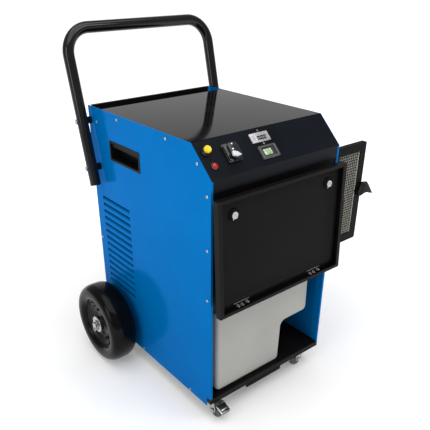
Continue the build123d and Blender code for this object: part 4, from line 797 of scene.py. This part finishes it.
# ---------------------------------------------------------------- casters
def caster(name, paint):
    """Zinc fork with its bolts, grey wheel, and the brake pedal with its dark pad and bright edges."""
    swivel = Vector(JOINTS[f"{name}_caster_swivel"]["pos_m"])
    roll = Vector(JOINTS[f"{name}_caster_roll"]["pos_m"])
    pivot = Vector(JOINTS[f"{name}_brake_press"]["pos_m"])
    trail = Vector((roll.x - swivel.x, roll.y - swivel.y, 0)).normalized()
    # Drawn with X along the trail, Y up and Z across.
    across = trail.cross(Vector((0, 0, 1)))
    place = axes((swivel.x, swivel.y, 0), trail, across)
    hub = Vector(((roll - swivel).dot(trail), roll.z))
    radius = roll.z
    tread = Shape()
    wheel_place = place @ Matrix.Translation((hub.x, hub.y, 0))
    half = 11 * MM
    tread.lathe(
        [(4.05 * MM, half), (8 * MM, half), (8.6 * MM, half - 1 * MM), (15.5 * MM, half - 1 * MM),
         (16 * MM, half - 0.2 * MM), (21 * MM, half - 0.2 * MM), (23.6 * MM, half - 1.4 * MM),
         (24.8 * MM, half - 4 * MM), (radius, half - 7 * MM), (radius, -half + 7 * MM),
         (24.8 * MM, -half + 4 * MM), (23.6 * MM, -half + 1.4 * MM), (21 * MM, -half + 0.2 * MM),
         (16 * MM, -half + 0.2 * MM), (15.5 * MM, -half + 1 * MM), (8.6 * MM, -half + 1 * MM), (8 * MM, -half),
         (4.05 * MM, -half)], wheel_place, 72, loop=True,
    )
    tread.piece(f"{name}_caster_tread", f"{name}_caster_roller", paint["caster"],
                replaces=[f"{name}_caster_wheel"], slot="caster_tread")

    fork = Shape()
    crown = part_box(f"{name}_caster_fork")[1].z
    cheek = [(-10, crown / MM), (22, crown / MM), (27, crown / MM - 12), (34, 29), (30, 18), (22, 17.5), (16, 20),
             (8, 33), (-4, crown / MM - 9)]
    for low in (13 * MM, -16 * MM):
        fork.prism([(x * MM, y * MM) for x, y in cheek], low, low + 3 * MM, place, bevel=0.7 * MM)
    plate = axes((swivel.x, swivel.y, 0), trail, (0, 0, 1))
    top = rounded(32 * MM, 31.8 * MM, 5 * MM, centre=(6 * MM, 0))
    fork.bored_plate(top, 8 * MM, crown - 3 * MM, crown, plate)
    fork.lathe([(5.05 * MM, crown), (16.8 * MM, crown), (16.8 * MM, crown - 2 * MM), (14 * MM, crown - 3.4 * MM),
                (5.05 * MM, crown - 3.4 * MM)], plate, 48, loop=True)
    fork.lathe([(0, -16 * MM), (4 * MM, -16 * MM), (4 * MM, 16 * MM), (0, 16 * MM)], wheel_place, 32)
    for low, high in ((16.1 * MM, 20.1 * MM), (-20.1 * MM, -16.1 * MM)):
        fork.prism(hexagon(6.9 * MM), low, high, wheel_place, bevel=0.7 * MM)
    rivet = place @ Matrix.Translation(((pivot - swivel).dot(trail), pivot.z, 0))
    fork.lathe([(0, -16.6 * MM), (1.5 * MM, -16.6 * MM), (1.5 * MM, 16.6 * MM), (0, 16.6 * MM)], rivet, 20)
    fork.piece(f"{name}_fork_pressed", f"{name}_caster", paint["zinc"], replaces=[f"{name}_caster_fork"],
               slot="zinc")

    pedal = Shape()
    line = [(23, 55.1), (29, 51.6), (40, 49.0), (63.6, 40.4), (65.6, 34.6), (64.2, 34.2), (61.6, 39.3), (39, 47.9),
            (29, 50.9), (23, 53.0)]
    pedal.prism([(x * MM, y * MM) for x, y in line], -12.4 * MM, 12.4 * MM, place, bevel=0.25 * MM, segments=1)
    wide = [(29.6, 51.4), *line[2:8], (29.6, 50.7)]
    pedal.prism([(x * MM, y * MM) for x, y in wide], -15.9 * MM, 15.9 * MM, place, bevel=0.25 * MM, segments=1)
    along = Vector((63.6 - 40, 40.4 - 49.0)).normalized()
    up = Vector((-along.y, along.x))
    pad = axes(
        place @ Vector((40 * MM, 49.0 * MM, 0)), place.to_3x3() @ Vector((along.x, along.y, 0)),
        place.to_3x3() @ Vector((up.x, up.y, 0)),
    )
    pedal.block((-0.5 * MM, -14 * MM, -0.2 * MM), (23.6 * MM, 14 * MM, 0.45 * MM), pad, bevel=0.2 * MM, paint=1)
    pedal.block((14 * MM, -10.5 * MM, 0.3 * MM), (18.5 * MM, 10.5 * MM, 1.3 * MM), pad, bevel=0.4 * MM)
    pedal.lathe([(1.55 * MM, -12.5 * MM), (3.2 * MM, -12.5 * MM), (3.2 * MM, 12.5 * MM), (1.55 * MM, 12.5 * MM)],
                rivet, 24, loop=True)
    pedal.piece(f"{name}_pedal_pressed", f"{name}_pedal", paint["zinc"], paint["gloss"],
                replaces=[f"{name}_brake_pedal"], slot="zinc")


# ---------------------------------------------------------------- door locks
def door_locks(paint):
    """Quarter-turn locks: a slotted disc with its cam, in a black cup."""
    cups = Shape()
    for name in ("left", "right"):
        joint = JOINTS[f"{name}_lock_turn"]
        place = axes(joint["pos_m"], (1, 0, 0), joint["axis"])
        cups.lathe(
            [(9.05 * MM, 3.6 * MM), (9.4 * MM, 3.6 * MM), (9.4 * MM, 7.3 * MM), (16.5 * MM, 7.3 * MM),
             (16.5 * MM, 9.6 * MM), (15.5 * MM, 11.1 * MM), (13.5 * MM, 11.1 * MM), (12.5 * MM, 8.4 * MM),
             (9.05 * MM, 8.2 * MM)], place, 64, loop=True,
        )
        lock = Shape()
        lock.lathe([(0, 3.8 * MM), (8.95 * MM, 3.8 * MM), (8.95 * MM, 7.6 * MM), (6 * MM, 8.4 * MM),
                    (6 * MM, 12.4 * MM), (0, 12.4 * MM)], place, 48, paint=1)
        lock.lathe([(0, 12.2 * MM), (9 * MM, 12.2 * MM), (9 * MM, 13.9 * MM), (8.5 * MM, 14.4 * MM),
                    (3.4 * MM, 14.4 * MM), (3.0 * MM, 13.9 * MM), (0, 13.9 * MM)], place, 56)
        tail = place @ Matrix.Rotation(radians(-30), 4, "Z")
        lock.block((-2 * MM, -12 * MM, 12.3 * MM), (2 * MM, -6 * MM, 13.8 * MM), tail, bevel=0.4 * MM)
        side = place @ Matrix.Rotation(radians(35), 4, "Z")
        lock.block((-1.6 * MM, -11 * MM, 12.3 * MM), (1.6 * MM, -6 * MM, 13.6 * MM), side, bevel=0.4 * MM)
        lock.block((-0.6 * MM, -2.6 * MM, 13.7 * MM), (0.6 * MM, 2.6 * MM, 14.35 * MM), tail, bevel=0.2 * MM)
        lock.piece(f"{name}_lock_disc", f"{name}_lock", paint["satin"], paint["dark"],
                   replaces=[f"door_lock_{name}"], slot="zinc")
    cups.piece("lock_cup_rings", "tank_door", paint["dark"], replaces=["door_lock_cups"], slot="black_plastic")


def door_hinges(paint):
    """Hinge leaves along the door's lower edge, with their knuckles, a clamping strip and hexagonal nuts."""
    hinge = Vector(JOINTS["tank_door_hinge"]["pos_m"])
    lean = Vector(JOINTS["left_lock_turn"]["axis"])
    place = axes(hinge, (1, 0, 0), lean)
    shape = Shape()
    for x in (-135, 135):
        shape.block(((x - 12) * MM, 1.6 * MM, 1.2 * MM), ((x + 12) * MM, 2.9 * MM, 18 * MM), place, bevel=0.3 * MM)
        knuckle = axes(hinge + Vector(((x - 12) * MM, 0, 0)), (0, 1, 0), (1, 0, 0))
        shape.lathe([(1.55 * MM, 0), (2.5 * MM, 0), (2.9 * MM, 0.4 * MM), (2.9 * MM, 23.6 * MM), (2.5 * MM, 24 * MM),
                     (1.55 * MM, 24 * MM)], knuckle, 32, loop=True)
        strip = place @ Matrix.Translation((x * MM, 0, 0))
        shape.block((-33 * MM, 20 * MM, 4.9 * MM), (20 * MM, 24 * MM, 7.4 * MM), strip, bevel=0.5 * MM, paint=1)
        for dx, v in ((-17, 9), (-3, 9.5), (14, 11)):
            nut = strip @ Matrix.Translation((dx * MM, v * MM, 0))
            shape.lathe([(0, 4.9 * MM), (6.4 * MM, 4.9 * MM), (6.4 * MM, 5.7 * MM), (0, 5.9 * MM)], nut, 32)
            shape.prism(hexagon(5.0 * MM), 5.8 * MM, 10.4 * MM, nut, bevel=0.7 * MM)
            shape.lathe([(0, 10.2 * MM), (2.5 * MM, 10.2 * MM), (2.5 * MM, 12.6 * MM), (2.1 * MM, 13 * MM),
                         (0, 13 * MM)], nut, 20)
    shape.piece("hinge_leaves_and_nuts", "tank_door", paint["zinc"], paint["steel"],
                replaces=["door_hinge_leaves"], slot="zinc")


# ---------------------------------------------------------------- finishes of the CAD nodes
FINISHES = {
    "blue": ["right_panel"],
    # The left panel's coat has painted shade inside its louvres.
    "blue_painted_louvre_shade": ["left_panel"],
    "top": ["top_cover"],
    "console": ["control_panel"],
    "black": ["rear_panel", "upper_front_panel", "base_tray", "door_pan", "axle_brackets"],
    "liner": ["door_liner"],
    "dark": ["bay_liner", "electrical_box", "fan_shroud", "drip_tray", "fan_impeller",
             "filter_frame"],
    "tube": ["handle_tube"],
    "plastic": ["grip_cups", "handle_fittings", "cable_gland"],
    "rubber": ["door_seal", "rubber_mounts"],
    "zinc": ["cabinet_screws", "handle_bolts", "rear_axle", "caster_plates", "door_hinge_brackets",
             "fan_motor"],
    "steel": ["filter_hinge"],
    "tank": ["water_tank"],
    "float": ["tank_float"],
    "compressor": ["compressor"],
    "fins": ["evaporator", "condenser"],
    "copper": ["refrigerant_pipes"],
}


def paint_cad_nodes(paint):
    """Give the CAD nodes that stay in view their finishes."""
    for key, names in FINISHES.items():
        for name in names:
            slots = NODES[name].data.materials
            slots.clear()
            slots.append(paint[key])


# ---------------------------------------------------------------- build everything
paint = make_materials()
add_camera()
add_studio()
paint_cad_nodes(paint)
rear_wheel(-1, "left", paint)
rear_wheel(1, "right", paint)
hub_fasteners(paint)
button_and_lamp(paint)
main_switch(paint)
meters(paint)
filter_door(paint)
caster("left", paint)
caster("right", paint)
door_locks(paint)
door_hinges(paint)
